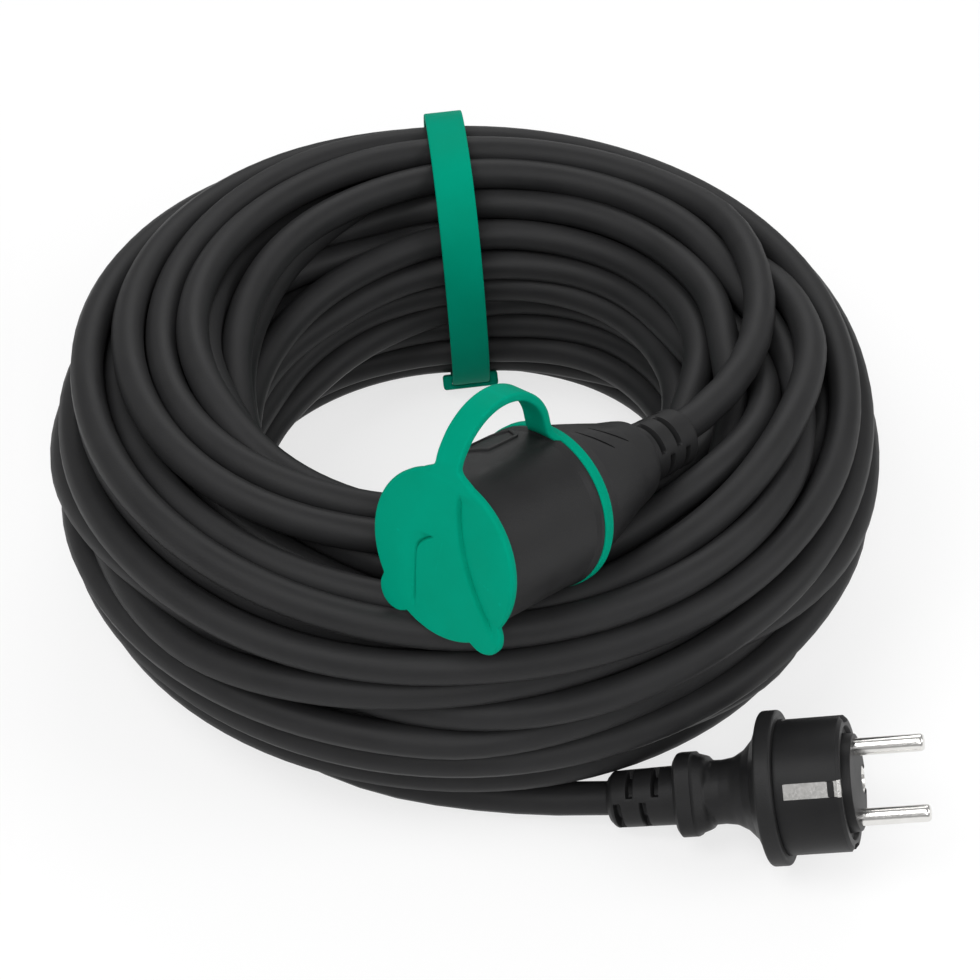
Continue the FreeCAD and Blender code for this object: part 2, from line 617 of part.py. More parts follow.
def earth_crimp():
    """Barrel that joins the earth core to the bow's bar."""
    barrel = rod_x(PIN_SHANK_R, PLUG_TAIL_X, EARTH_X0 - SEAT_GAP)
    return barrel.cut(rod_x(CORE_D / 2, PLUG_TAIL_X - 1, PLUG_PIN_BACK - 1))


def plug_lead_points():
    end = cable_end(PLUG_FRAME, PLUG_CABLE_X)
    out = cable_end(PLUG_FRAME, COLLAR_BACK - PLUG_RELIEF_L - 2.0)
    return [Vector(*p) for p in PLUG_LEAD_ROUTE] + [out, end]


# ---------------------------------------------------------------- tie strap

STRAP_FRAME = local_frame(Vector(STRAP_X, STRAP_Y, STRAP_HALF_H), STRAP_AZ, 0)


def loop(half_w, half_h, width):
    """Elliptical slab in the strap's plane: X outward from the eye, Z up."""
    centre = Vector(0, -width / 2, 0)
    ellipse = Part.Ellipse(centre + Vector(0, 0, half_h), centre + Vector(half_w, 0, 0), centre)
    return Part.Face(Part.Wire([ellipse.toShape()])).extrude(Vector(0, width, 0))


def strap_band():
    outer = loop(STRAP_HALF_W, STRAP_HALF_H, STRAP_W)
    return outer.cut(loop(STRAP_HALF_W - STRAP_T, STRAP_HALF_H - STRAP_T, STRAP_W + 2))


def keeper_frame():
    """Place of the keeper on the band: X outward through the band, Z along it."""
    angle = math.radians(180 - KEEPER_AZ)
    half_w = STRAP_HALF_W - STRAP_T / 2
    half_h = STRAP_HALF_H - STRAP_T / 2
    place = Vector(half_w * math.cos(angle), 0, half_h * math.sin(angle))
    normal = math.degrees(math.atan2(half_w * math.sin(angle), half_h * math.cos(angle)))
    return FreeCAD.Placement(place, FreeCAD.Rotation(Vector(0, 1, 0), -normal))


def keeper_block(grow):
    half_t = STRAP_T / 2 + KEEPER_T + grow
    return box(-half_t, half_t, -KEEPER_W / 2 - grow, KEEPER_W / 2 + grow, -KEEPER_L / 2 - grow, KEEPER_L / 2 + grow)


def strap_keeper():
    """Moulded eye that the strap's free end passes through."""
    block = placed(keeper_block(0), keeper_frame())
    slot = loop(STRAP_HALF_W + SEAT_GAP, STRAP_HALF_H + SEAT_GAP, STRAP_W + 4 * SEAT_GAP)
    gap = STRAP_T + SEAT_GAP
    slot = slot.cut(loop(STRAP_HALF_W - gap, STRAP_HALF_H - gap, STRAP_W + 2))
    return block.cut(slot)


# ---------------------------------------------------------------- coil


def coil_section(theta):
    """Ring of points round the bundle at one azimuth."""
    eye = COIL_EYE_R + COIL_EYE_SKEW * math.sin(2 * theta)
    height = COIL_H + COIL_LEAN * math.cos(theta - math.radians(COIL_LEAN_AZ))
    half_w = (COIL_OUTER_R - eye) / 2
    middle = (COIL_OUTER_R + eye) / 2
    ring = []
    for k in range(COIL_RING_STEPS):
        phi = 2 * math.pi * k / COIL_RING_STEPS
        r = middle + half_w * math.cos(phi)
        z = height / 2 + height / 2 * math.sin(phi)
        ring.append(Vector(r * math.cos(theta), r * math.sin(theta), z))
    return ring


def coil_envelope():
    """Outer shape of the bundle, as flat facets between rings of points."""
    rows = [coil_section(2 * math.pi * k / COIL_STEPS) for k in range(COIL_STEPS)]
    faces = []
    for i, row in enumerate(rows):
        beside = rows[(i + 1) % COIL_STEPS]
        for j in range(COIL_RING_STEPS):
            up = (j + 1) % COIL_RING_STEPS
            faces.append(Part.Face(Part.makePolygon([row[j], beside[j], beside[up], row[j]])))
            faces.append(Part.Face(Part.makePolygon([row[j], beside[up], row[up], row[j]])))
    return Part.Solid(Part.Shell(faces))


def cable_coil():
    """Bundle of turns, pressed in where the coupler, the strap and the two leads lie."""
    coil = coil_envelope()
    gap = SOFT_GAP
    ring_r = CUP_R - RING_GROOVE + SEAT_GAP + RING_T
    back = RING_X - RING_W / 2
    ears = CAP_R - EAR_INSET + EAR_R
    relief_back = SHOULDER_END - COUPLER_RELIEF_L
    beside_coupler = [facet_rod(ring_r + gap, back - gap, -2.0), facet_rod(ears + gap, -CAP_HOLLOW_BACK, CAP_HOLLOW),
                      facet_rod(COUPLER_RELIEF_R + gap, relief_back - gap, SHOULDER_END)]
    profile = shoulder_points()
    for (x1, r1), (x0, r0) in zip(profile, profile[1:]):
        beside_coupler.append(facet_cone(r0 + 2 * gap, r1 + 2 * gap, x0 - gap, x1))
    for cut in beside_coupler:
        coil = coil.cut(placed(cut, COUPLER_FRAME))
    relief_back = COLLAR_BACK - PLUG_RELIEF_L
    coil = coil.cut(placed(facet_rod(PLUG_RELIEF_R + gap, relief_back - gap, COLLAR_BACK), PLUG_FRAME))
    band = loop(STRAP_REACH, STRAP_REACH, STRAP_W + 2 * gap)
    band = band.cut(loop(STRAP_HALF_W - STRAP_T - gap, STRAP_HALF_H - STRAP_T - gap, STRAP_W + 4))
    coil = coil.cut(placed(band, STRAP_FRAME))
    coil = coil.cut(placed(placed(keeper_block(gap), keeper_frame()), STRAP_FRAME))
    for points in (coupler_lead_points(), plug_lead_points()):
        coil = coil.cut(channel(points, CABLE_D / 2 + gap))
    return max(coil.Solids, key=lambda solid: solid.Volume)


# ---------------------------------------------------------------- build


def build_coupler():
    pieces = {"coupler_body": coupler_body(), "coupler_insert": coupler_insert(),
              "coupler_earth_bridge": earth_bridge(), "earth_clip_upper": earth_clip(0),
              "earth_clip_lower": earth_clip(180), "cap_ring": cap_ring(), "cap_tether": cap_tether(), "cap": cap()}
    front = -MOUTH_DEPTH - 2.0 - SEAT_GAP
    fan = CABLE_D / 2 - CORE_D / 2 - 1.3
    for name, side, angle in (("line", 1, 90), ("neutral", -1, 210)):
        pieces["coupler_contact_" + name] = contact_sleeve(front, side * PIN_PITCH / 2)
        start = Vector(front - CONTACT_L - 1.0, side * PIN_PITCH / 2, 0)
        end = Vector(COUPLER_CABLE_X, fan * side, fan / 2)
        pieces["coupler_core_" + name] = core(start, end, CRIMP_L)
    start = Vector(CARRIER_BACK - 1.0, 0, 0)
    pieces["coupler_core_earth"] = core(start, Vector(COUPLER_CABLE_X, 0, -fan), CRIMP_L)
    for name, solid in pieces.items():
        export(name, placed(solid, COUPLER_FRAME))
    export("coupler_relief", strain_relief(SHOULDER_END, COUPLER_RELIEF_L, COUPLER_RELIEF_R,
                                           COUPLER_RELIEF_TIP_R, COUPLER_FRAME, coupler_lead_points()))


def build_plug():
    pieces = {"plug_body": plug_body(), "plug_carrier": plug_carrier(),
              "plug_earth_bow": earth_bow(0), "plug_earth_socket": earth_socket(), "plug_earth_crimp": earth_crimp(),
              "pin_line": pin(1), "pin_neutral": pin(-1)}
    fan = CABLE_D / 2 - CORE_D / 2 - 1.3
    for name, z, spread in (("line", PIN_PITCH / 2, fan), ("neutral", -PIN_PITCH / 2, -fan), ("earth", 0, 0)):
        start = Vector(PLUG_PIN_BACK - 1.0, 0, z)
        end = Vector(PLUG_CABLE_X, fan / 2 if z else -fan, spread)
        pieces["plug_core_" + name] = core(start, end, PLUG_PIN_BACK - PLUG_CARRIER_IN)
    for name, solid in pieces.items():
        export(name, placed(solid, PLUG_FRAME))
    export("plug_relief", strain_relief(COLLAR_BACK, PLUG_RELIEF_L, PLUG_RELIEF_R,
                                        PLUG_RELIEF_TIP_R, PLUG_FRAME, plug_lead_points()))


def build_cable():
    export("coupler_lead", tube(coupler_lead_points(), CABLE_D, "coupler lead"))
    export("plug_lead", tube(plug_lead_points(), CABLE_D, "plug lead"))
    export("cable_coil", cable_coil())


def build_strap():
    export("strap_band", placed(strap_band(), STRAP_FRAME))
    export("strap_keeper", placed(strap_keeper(), STRAP_FRAME))


build_coupler()
build_plug()
build_cable()
build_strap()
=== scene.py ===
"""Looks of a coiled outdoor extension cord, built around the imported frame.

Metres, +Z up, in the frame's own axes. The coupler, the plug and the strap are built in
frames of their own, in millimetres, and seated by a Seat. The last lines run main().
"""
import json
import logging
import math
from collections.abc import Callable
from dataclasses import dataclass
from enum import Enum

import bmesh
import bpy
import numpy as np
from mathutils import Matrix, Vector


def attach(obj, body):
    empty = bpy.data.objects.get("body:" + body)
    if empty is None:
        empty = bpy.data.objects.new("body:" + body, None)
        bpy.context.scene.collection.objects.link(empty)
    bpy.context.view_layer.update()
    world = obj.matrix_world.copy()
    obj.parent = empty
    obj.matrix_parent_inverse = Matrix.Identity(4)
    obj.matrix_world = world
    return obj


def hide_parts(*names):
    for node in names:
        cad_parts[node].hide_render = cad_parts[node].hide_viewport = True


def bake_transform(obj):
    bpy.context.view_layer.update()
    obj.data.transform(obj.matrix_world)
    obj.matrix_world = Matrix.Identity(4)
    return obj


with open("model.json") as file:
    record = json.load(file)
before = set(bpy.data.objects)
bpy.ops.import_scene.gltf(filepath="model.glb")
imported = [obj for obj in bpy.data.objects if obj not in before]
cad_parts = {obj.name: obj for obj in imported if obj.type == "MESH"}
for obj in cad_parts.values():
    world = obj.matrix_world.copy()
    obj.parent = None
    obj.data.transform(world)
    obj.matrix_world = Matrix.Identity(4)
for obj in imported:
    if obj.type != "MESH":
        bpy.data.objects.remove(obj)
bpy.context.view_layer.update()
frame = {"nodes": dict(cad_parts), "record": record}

MM = 0.001
LOG = logging.getLogger("extension_cord")
ROOT, TETHER, CAP = "root", "tether", "cap"

Place = tuple[float, float, float]
Colour = tuple[float, float, float]
Faces = list[tuple[int, ...]]
Rod = tuple[np.ndarray, np.ndarray, float, float]
Relief = Callable[[np.ndarray, np.ndarray, np.ndarray], np.ndarray]


# ---------------------------------------------------------------- seats and meshes


@dataclass(frozen=True)
class Seat:
    """Where a sub-assembly sits: an origin in mm and the way its +X points, in degrees."""

    origin: Place
    azimuth: float
    elevation: float = 0.0
    roll: float = 0.0

    def matrix(self) -> Matrix:
        """Local millimetres to world metres.

        Returns:
            The matrix.
        """
        turn = (Matrix.Rotation(math.radians(self.azimuth), 4, "Z")
                @ Matrix.Rotation(math.radians(-self.elevation), 4, "Y")
                @ Matrix.Rotation(math.radians(self.roll), 4, "X"))
        return Matrix.Scale(MM, 4) @ Matrix.Translation(self.origin) @ turn

    def point(self, x: float, y: float, z: float) -> Vector:
        """World place in metres of a local point in mm."""
        return self.matrix() @ Vector((x, y, z))

    def points(self, local: np.ndarray) -> np.ndarray:
        """World places in metres of local points in mm, any leading shape."""
        turn = np.array(self.matrix())
        return local @ turn[:3, :3].T + turn[:3, 3]

    def solid(self, name: str, points: np.ndarray, faces: Faces, sharp: float = 40.0) -> bpy.types.Object:
        """Closed piece from local points in mm, its faces outwards."""
        return outwards(new_mesh(name, self.points(points), faces, sharp))

    def lathe(self, name: str, outline: np.ndarray, angles: np.ndarray, sharp: float = 40.0,
              closed: bool = True, relief: Relief | None = None,
              beside: tuple[float, float] = (0.0, 0.0)) -> bpy.types.Object:
        """Closed piece turned about the local X axis or a line beside it.

        Args:
            name: the piece's name.
            outline: (x, r) points, going round the section.
            angles: angles round the axis from +Z, in radians.
            sharp: angle in degrees past which an edge stays sharp.
            closed: whether the outline closes on itself.
            relief: function of x, r and the angle that gives the radius there.
            beside: y and z of the line that the piece is turned about.

        Returns:
            The piece.
        """
        points, faces = turned(outline, angles, closed=closed, relief=relief)
        points[..., 1:] += beside
        return self.solid(name, points, faces, sharp)


COUPLER_SEAT = Seat((-4.3, -111.4, 107.5), 227.0, 13.0, 8.5)
PLUG_SEAT = Seat((88.2, -115.8, 22.079), -8.0, 16.5, 135.0)
STRAP_SEAT = Seat((-3.5, 88.5, 45.0), 96.0, 0.0, -4.0)


def smoothstep(value: np.ndarray, low: float, high: float) -> np.ndarray:
    """Smooth ramp from 0 at low to 1 at high."""
    t = np.clip((np.asarray(value, float) - low) / (high - low), 0.0, 1.0)
    return t * t * (3.0 - 2.0 * t)


def band(value: np.ndarray, low: float, high: float, edge: float) -> np.ndarray:
    """1 between low and high, 0 outside, with soft sides of the width edge.

    Args:
        value: where to look.
        low: start of the band.
        high: end of the band.
        edge: width of each soft side.

    Returns:
        The share at each value.
    """
    half = edge / 2
    rise = smoothstep(value, low - half, low + half)
    return rise * (1.0 - smoothstep(value, high - half, high + half))


def rounded(corners: list[Place], closed: bool = True, steps: int = 4) -> np.ndarray:
    """Rounds the corners of an outline.

    Args:
        corners: (x, r, radius) for each corner; a radius of 0 keeps it sharp.
        closed: whether the last corner joins the first.
        steps: points on each rounded corner, less one.

    Returns:
        The outline's points, one row each.
    """
    points = []
    count = len(corners)
    for k, (x, y, radius) in enumerate(corners):
        here = np.array([x, y], float)
        if radius <= 0 or (not closed and k in (0, count - 1)):
            points.append(here)
            continue
        back = np.array(corners[k - 1][:2], float) - here
        ahead = np.array(corners[(k + 1) % count][:2], float) - here
        back_l, ahead_l = np.linalg.norm(back), np.linalg.norm(ahead)
        back, ahead = back / back_l, ahead / ahead_l
        half = math.acos(max(-1.0, min(1.0, float(back @ ahead)))) / 2
        if half > math.pi / 2 - 0.01:
            points.append(here)
            continue
        reach = min(radius / math.tan(half), 0.48 * back_l, 0.48 * ahead_l)
        start, end = here + back * reach, here + ahead * reach
        for step in range(steps + 1):
            t = step / steps
            points.append((1 - t) ** 2 * start + 2 * t * (1 - t) * here + t * t * end)
    return np.array(points)


def densified(outline: np.ndarray, spacing: float, closed: bool = True) -> np.ndarray:
    """Adds points on the long runs of an outline.

    Args:
        outline: points, one row each.
        spacing: the longest run left between two points.
        closed: whether the last point joins the first.

    Returns:
        The outline with more points.
    """
    rows = []
    count = len(outline)
    for k in range(count if closed else count - 1):
        start, end = outline[k], outline[(k + 1) % count]
        parts = max(1, int(math.ceil(np.linalg.norm(end - start) / spacing)))
        rows.extend(start + (end - start) * step / parts for step in range(parts))
    if not closed:
        rows.append(outline[-1])
    return np.array(rows)


def polar(x: np.ndarray | float, r: np.ndarray | float, phi: np.ndarray) -> np.ndarray:
    """Points at places along the X axis, distances from it and angles round it from +Z."""
    return np.stack(np.broadcast_arrays(x, r * np.sin(phi), r * np.cos(phi)), axis=-1)


def unit(vectors: np.ndarray) -> np.ndarray:
    """Vectors of length 1 along the given ones, one in each row."""
    return vectors / np.linalg.norm(vectors, axis=1)[:, None]


def linked(name: str, data: bpy.types.ID) -> bpy.types.Object:
    """New object in the scene.

    Args:
        name: the object's name.
        data: its mesh, curve, lamp or camera.

    Returns:
        The object.
    """
    made = bpy.data.objects.new(name, data)
    bpy.context.scene.collection.objects.link(made)
    return made


def new_mesh(name: str, points: np.ndarray, faces: Faces, sharp: float = 40.0) -> bpy.types.Object:
    """Links a smooth mesh object whose edges are sharp past an angle.

    Args:
        name: the piece's name.
        points: world places in metres.
        faces: corner numbers of each face.
        sharp: angle in degrees past which an edge stays sharp.

    Returns:
        The object.
    """
    mesh = bpy.data.meshes.new(name)
    mesh.from_pydata([tuple(p) for p in points.reshape(-1, 3)], [], faces)
    mesh.validate()
    mesh.shade_smooth()
    mesh.set_sharp_from_angle(angle=math.radians(sharp))
    return linked(name, mesh)


def grid_faces(rows: int, columns: int, wrap_rows: bool = False) -> Faces:
    """Quads of a grid of points whose rows close on themselves.

    Args:
        rows: number of rows.
        columns: points in a row.
        wrap_rows: whether the last row joins the first.

    Returns:
        The faces.
    """
    faces = []
    for i in range(rows if wrap_rows else rows - 1):
        for j in range(columns):
            a, b = (i + 1) % rows, (j + 1) % columns
            faces.append((i * columns + j, a * columns + j, a * columns + b, i * columns + b))
    return faces


def end_faces(rows: int, columns: int) -> Faces:
    """Faces that close the first and the last row of a grid."""
    return [tuple(range(columns)), tuple((rows - 1) * columns + k for k in range(columns))]


def turned(outline: np.ndarray, angles: np.ndarray, closed: bool = True,
           relief: Relief | None = None) -> tuple[np.ndarray, Faces]:
    """Turns an outline about the local X axis.

    Args:
        outline: (x, r) points, going round the section.
        angles: angles round the axis from +Z, in radians.
        closed: whether the outline closes on itself; if not, its ends lie on the axis.
        relief: function of x, r and the angle that gives the radius there.

    Returns:
        Local points in mm and the faces.
    """
    columns = len(angles)
    x = np.repeat(outline[:, :1], columns, axis=1)
    r = np.repeat(outline[:, 1:2], columns, axis=1)
    phi = np.repeat(angles[None, :], len(outline), axis=0)
    if relief is not None:
        r = relief(x, r, phi)
    return polar(x, r, phi), grid_faces(len(outline), columns, wrap_rows=closed)


def around(count: int, *edges: float) -> np.ndarray:
    """Even angles round an axis, with a close pair at each edge given in degrees.

    Args:
        count: number of even angles.
        edges: places of the close pairs, in degrees.

    Returns:
        The angles in radians, rising.
    """
    even = np.arange(count) * 360.0 / count
    extra = [e + d for e in edges for d in (-0.25, 0.25)]
    return np.radians(np.unique(np.round(np.concatenate([even, np.mod(extra, 360.0)]), 4)))


def swept(path: np.ndarray, across: np.ndarray, section: np.ndarray, widths: np.ndarray,
          closed: bool = False) -> tuple[np.ndarray, Faces]:
    """Carries a flat section along a path that lies in one plane.

    Args:
        path: the path's points.
        across: unit vector square to the path's plane.
        section: closed outline as (share of the width, height) points.
        widths: half width of the section and scale of its height at each point of the path.
        closed: whether the path closes on itself.

    Returns:
        Points and faces; the ends of an open path are filled.
    """
    if closed:
        ahead = np.roll(path, -1, axis=0) - np.roll(path, 1, axis=0)
    else:
        ahead = np.gradient(path, axis=0)
    normal = np.cross(unit(ahead), across)
    points = (path[:, None, :] + across * (section[None, :, :1] * widths[:, None, :1])
              + normal[:, None, :] * (section[None, :, 1:] * widths[:, None, 1:]))
    rows, columns = points.shape[:2]
    faces = grid_faces(rows, columns, wrap_rows=closed)
    return points, faces if closed else faces + end_faces(rows, columns)


def box_outline(half_w: float, half_t: float, corner: float, steps: int) -> np.ndarray:
    """Outline of a box with rounded corners, from its half sizes."""
    return rounded([(half_w, half_t, corner), (-half_w, half_t, corner),
                    (-half_w, -half_t, corner), (half_w, -half_t, corner)], steps=steps)


def flat_section(half_t: float, half_w: float, corner: float, steps: int = 3) -> np.ndarray:
    """Outline of a flat band: (share of the half width, height) with rounded corners.

    Args:
        half_t: half the thickness.
        half_w: half the width.
        corner: the corners' radius.
        steps: points on each corner, less one.

    Returns:
        The outline, one point in each row.
    """
    outline = densified(box_outline(half_w, half_t, corner, steps), half_w / 2)
    return np.stack([outline[:, 0] / half_w, outline[:, 1]], axis=-1)


def through(points: list[tuple[float, ...]], parts: int) -> np.ndarray:
    """Smooth open curve through points, with parts steps from each to the next.

    Args:
        points: places to pass.
        parts: steps between two places.

    Returns:
        The curve's points.
    """
    p = np.array(points, float)
    p = np.vstack([2 * p[0] - p[1], p, 2 * p[-1] - p[-2]])
    rows = []
    for k in range(1, len(p) - 2):
        for step in range(parts):
            t = step / parts
            rows.append(0.5 * (2 * p[k] + (p[k + 1] - p[k - 1]) * t
                               + (2 * p[k - 1] - 5 * p[k] + 4 * p[k + 1] - p[k + 2]) * t * t
                               + (3 * p[k] - p[k - 1] - 3 * p[k + 1] + p[k + 2]) * t ** 3))
    rows.append(p[-2])
    return np.array(rows)


def outwards(piece: bpy.types.Object) -> bpy.types.Object:
    """Joins doubled corners of a closed mesh and turns its faces outwards.

    Args:
        piece: the piece.

    Returns:
        The piece.
    """
    work = bmesh.new()
    work.from_mesh(piece.data)
    bmesh.ops.remove_doubles(work, verts=work.verts, dist=2e-7)
    bmesh.ops.recalc_face_normals(work, faces=work.faces)
    work.to_mesh(piece.data)
    work.free()
    return piece


def carved(piece: bpy.types.Object, cutters: list[bpy.types.Object],
           sharp: float = 35.0) -> bpy.types.Object:
    """Cuts closed meshes out of a piece and removes them.

    Args:
        piece: the piece to cut.
        cutters: closed meshes.
        sharp: angle in degrees past which an edge stays sharp.

    Returns:
        The piece.
    """
    for cutter in cutters:
        cut = piece.modifiers.new("cut", "BOOLEAN")
        cut.operation = "DIFFERENCE"
        cut.solver = "EXACT"
        cut.object = cutter
    bpy.context.view_layer.update()
    graph = bpy.context.evaluated_depsgraph_get()
    mesh = bpy.data.meshes.new_from_object(piece.evaluated_get(graph))
    piece.modifiers.clear()
    piece.data = mesh
    for cutter in cutters:
        bpy.data.objects.remove(cutter)
    mesh.shade_smooth()
    mesh.set_sharp_from_angle(angle=math.radians(sharp))
    return piece


def dressed(piece: bpy.types.Object, finish: bpy.types.Material, slot: str, body: str,
            *nodes: str) -> bpy.types.Object:
    """Gives a piece its finish and the body it moves with, hides the nodes it stands for and logs its slot.

    Args:
        piece: the piece.
        finish: its material.
        slot: the record's material slot.
        body: the body it rides on, or an empty text to leave it on no body.
        nodes: the CAD nodes that it replaces.

    Returns:
        The piece.
    """
    piece.data.materials.clear()
    piece.data.materials.append(finish)
    if body:
        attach(piece, body)
    if nodes:
        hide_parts(*nodes)
    LOG.info("%s: %d faces, %s", piece.name, len(piece.data.polygons), slot)
    return piece


# ---------------------------------------------------------------- shader nodes


def node_group(name: str, inputs: dict[str, float], outputs: tuple[str, ...]) -> bpy.types.NodeTree:
    """Empty shader group with named number sockets.

    Args:
        name: the group's name.
        inputs: each input's name and default value.
        outputs: the outputs' names.

    Returns:
        The group, with its input node named "in" and its output node named "out".
    """
    group = bpy.data.node_groups.new(name, "ShaderNodeTree")
    for socket, value in inputs.items():
        made = group.interface.new_socket(socket, in_out="INPUT", socket_type="NodeSocketFloat")
        made.default_value = value
    for socket in outputs:
        group.interface.new_socket(socket, in_out="OUTPUT", socket_type="NodeSocketFloat")
    group.nodes.new("NodeGroupInput").name = "in"
    group.nodes.new("NodeGroupOutput").name = "out"
    return group


def add(tree: bpy.types.NodeTree, kind: str, **settings: object) -> bpy.types.Node:
    """Adds a node; a setting that names a socket sets its value, any other an attribute.

    Args:
        tree: where to add it.
        kind: the node's type.
        settings: values by name.

    Returns:
        The node.
    """
    node = tree.nodes.new(kind)
    for key, value in settings.items():
        label = key.replace("_", " ").title()
        if hasattr(node, key):
            setattr(node, key, value)
        elif label in node.inputs:
            node.inputs[label].default_value = value
        else:
            raise KeyError(f"{kind} has no {key}")
    return node


def feed(tree: bpy.types.NodeTree, socket: bpy.types.NodeSocket, value: object) -> None:
    """Links an input to another socket, or gives it a value.

    Args:
        tree: the tree of both sockets.
        socket: the input.
        value: a socket or a value.
    """
    if isinstance(value, bpy.types.NodeSocket):
        tree.links.new(value, socket)
    else:
        socket.default_value = value


def math_node(tree: bpy.types.NodeTree, operation: str, a: object, b: object) -> bpy.types.NodeSocket:
    """Arithmetic of two sockets or numbers.

    Args:
        tree: where to add it.
        operation: what it does.
        a: first socket or number.
        b: second socket or number.

    Returns:
        The result.
    """
    node = add(tree, "ShaderNodeMath", operation=operation)
    feed(tree, node.inputs[0], a)
    feed(tree, node.inputs[1], b)
    return node.outputs[0]


def ranged(tree: bpy.types.NodeTree, value: bpy.types.NodeSocket, limits: tuple[float, float],
           result: tuple[float, float] = (0.0, 1.0)) -> bpy.types.NodeSocket:
    """Maps a value from one pair of limits to another, and keeps it inside.

    Args:
        tree: where to add it.
        value: what to map.
        limits: the pair it comes from.
        result: the pair it goes to.

    Returns:
        The mapped value.
    """
    node = add(tree, "ShaderNodeMapRange")
    tree.links.new(value, node.inputs["Value"])
    node.inputs["From Min"].default_value, node.inputs["From Max"].default_value = limits
    node.inputs["To Min"].default_value, node.inputs["To Max"].default_value = result
    return node.outputs["Result"]


def blended(tree: bpy.types.NodeTree, first: object, second: object,
            share: bpy.types.NodeSocket) -> bpy.types.NodeSocket:
    """Mixes two colours, each a socket or its three values, by a share.

    Args:
        tree: where to add it.
        first: colour at a share of 0.
        second: colour at a share of 1.
        share: the second colour's share.

    Returns:
        The mixed colour.
    """
    node = add(tree, "ShaderNodeMix", data_type="RGBA")
    for socket, colour in ((node.inputs[6], first), (node.inputs[7], second)):
        feed(tree, socket, (*colour, 1) if isinstance(colour, tuple) else colour)
    tree.links.new(share, node.inputs["Factor"])
    return node.outputs[2]


def emptied(owner: bpy.types.ID) -> bpy.types.NodeTree:
    """Node tree of a material or a world, with nothing in it.

    Args:
        owner: the material or world.

    Returns:
        Its tree.
    """
    owner.use_nodes = True
    owner.node_tree.nodes.clear()
    return owner.node_tree


def ended(tree: bpy.types.NodeTree, output: str, share: bpy.types.NodeSocket,
          first: bpy.types.Node, second: bpy.types.Node) -> None:
    """Ends a tree in a mix of two shaders.

    Args:
        tree: the tree.
        output: the output node's type.
        share: the second shader's share.
        first: first shader.
        second: second shader.
    """
    mix, out = add(tree, "ShaderNodeMixShader"), add(tree, output)
    for source, socket in ((share, mix.inputs[0]), (first.outputs[0], mix.inputs[1]),
                           (second.outputs[0], mix.inputs[2]), (mix.outputs[0], out.inputs["Surface"])):
        tree.links.new(source, socket)


# ---------------------------------------------------------------- studio


@dataclass
class Studio:
    """Camera, floor and soft lights; the camera looks along azimuth and elevation, in degrees."""

    eye: Place = (0.0, -0.5631, 0.5658)
    azimuth: float = 89.235
    elevation: float = -43.989
    roll: float = 1.051
    aim: Place = (0.0, 0.0, 0.04)
    lens: float = 94.14
    sensor: float = 36.0
    near: float = 0.02
    floor_half: float = 3.0
    floor_z: float = -2e-4
    floor_grey: float = 0.92
    floor_glow: float = 0.72
    fill: float = 0.38
    lamps: tuple[tuple[str, Place, float, float], ...] = (
        ("key_box", (-0.55, -0.35, 1.15), 0.7, 7.2), ("side_box", (0.95, -0.25, 0.75), 0.6, 4.5),
        ("back_box", (0.05, 0.95, 0.85), 0.7, 4.0), ("front_box", (0.0, -1.0, 0.92), 0.5, 4.8))

    def camera(self) -> bpy.types.Object:
        """Camera at the viewing angle of a product on a table.

        Returns:
            The camera.
        """
        data = bpy.data.cameras.new("product_camera")
        data.lens = self.lens
        data.sensor_width = self.sensor
        data.clip_start = self.near
        data.dof.use_dof = False
        camera = linked("product_camera", data)
        turn = (Matrix.Rotation(math.radians(self.azimuth - 90.0), 4, "Z")
                @ Matrix.Rotation(math.radians(self.elevation + 90.0), 4, "X")
                @ Matrix.Rotation(math.radians(self.roll), 4, "Z"))
        camera.matrix_world = Matrix.Translation(self.eye) @ turn
        bpy.context.scene.camera = camera
        return camera

    def floor(self) -> bpy.types.Object:
        """Pale table top that keeps the product's shadow.

        Returns:
            The table top.
        """
        h, z = self.floor_half, self.floor_z
        corners = np.array([(-h, -h, z), (h, -h, z), (h, h, z), (-h, h, z)])
        table = new_mesh("table_top", corners, [(0, 1, 2, 3)])
        material = bpy.data.materials.new("pale_table")
        tree = emptied(material)
        matt = add(tree, "ShaderNodeBsdfDiffuse")
        matt.inputs["Color"].default_value = (*(self.floor_grey,) * 3, 1)
        glow = add(tree, "ShaderNodeEmission", strength=1.0)
        path = add(tree, "ShaderNodeLightPath").outputs
        seen = math_node(tree, "MAXIMUM", path["Is Camera Ray"], path["Is Glossy Ray"])
        share = math_node(tree, "MULTIPLY", seen, self.floor_glow)
        ended(tree, "ShaderNodeOutputMaterial", share, matt, glow)
        table.data.materials.append(material)
        return table

    def world(self) -> None:
        """White surroundings, with a lower level for the light they give."""
        world = bpy.data.worlds.new("studio_world")
        tree = emptied(world)
        fill, white = (add(tree, "ShaderNodeBackground", strength=level) for level in (self.fill, 1.0))
        for background in (fill, white):
            background.inputs["Color"].default_value = (1, 1, 1, 1)
        path = add(tree, "ShaderNodeLightPath").outputs
        ended(tree, "ShaderNodeOutputWorld", path["Is Camera Ray"], fill, white)
        bpy.context.scene.world = world

    def lamp(self, name: str, place: Place, size: float, watts: float) -> bpy.types.Object:
        """Square soft box aimed at the coil.

        Args:
            name: the lamp's name.
            place: its centre in metres.
            size: its side in metres.
            watts: its power.

        Returns:
            The lamp.
        """
        data = bpy.data.lights.new(name, "AREA")
        data.shape = "SQUARE"
        data.size = size
        data.energy = watts
        lamp = linked(name, data)
        turn = (Vector(self.aim) - Vector(place)).to_track_quat("-Z", "Y").to_matrix().to_4x4()
        lamp.matrix_world = Matrix.Translation(place) @ turn
        return lamp

    def build(self) -> None:
        """Makes the camera, the floor and the lights."""
        bpy.context.scene.view_settings.view_transform = "Standard"
        self.camera()
        self.floor()
        self.world()
        for lamp in self.lamps:
            self.lamp(*lamp)
        LOG.info("studio: camera, table and %d soft boxes", len(self.lamps))


# ---------------------------------------------------------------- finishes


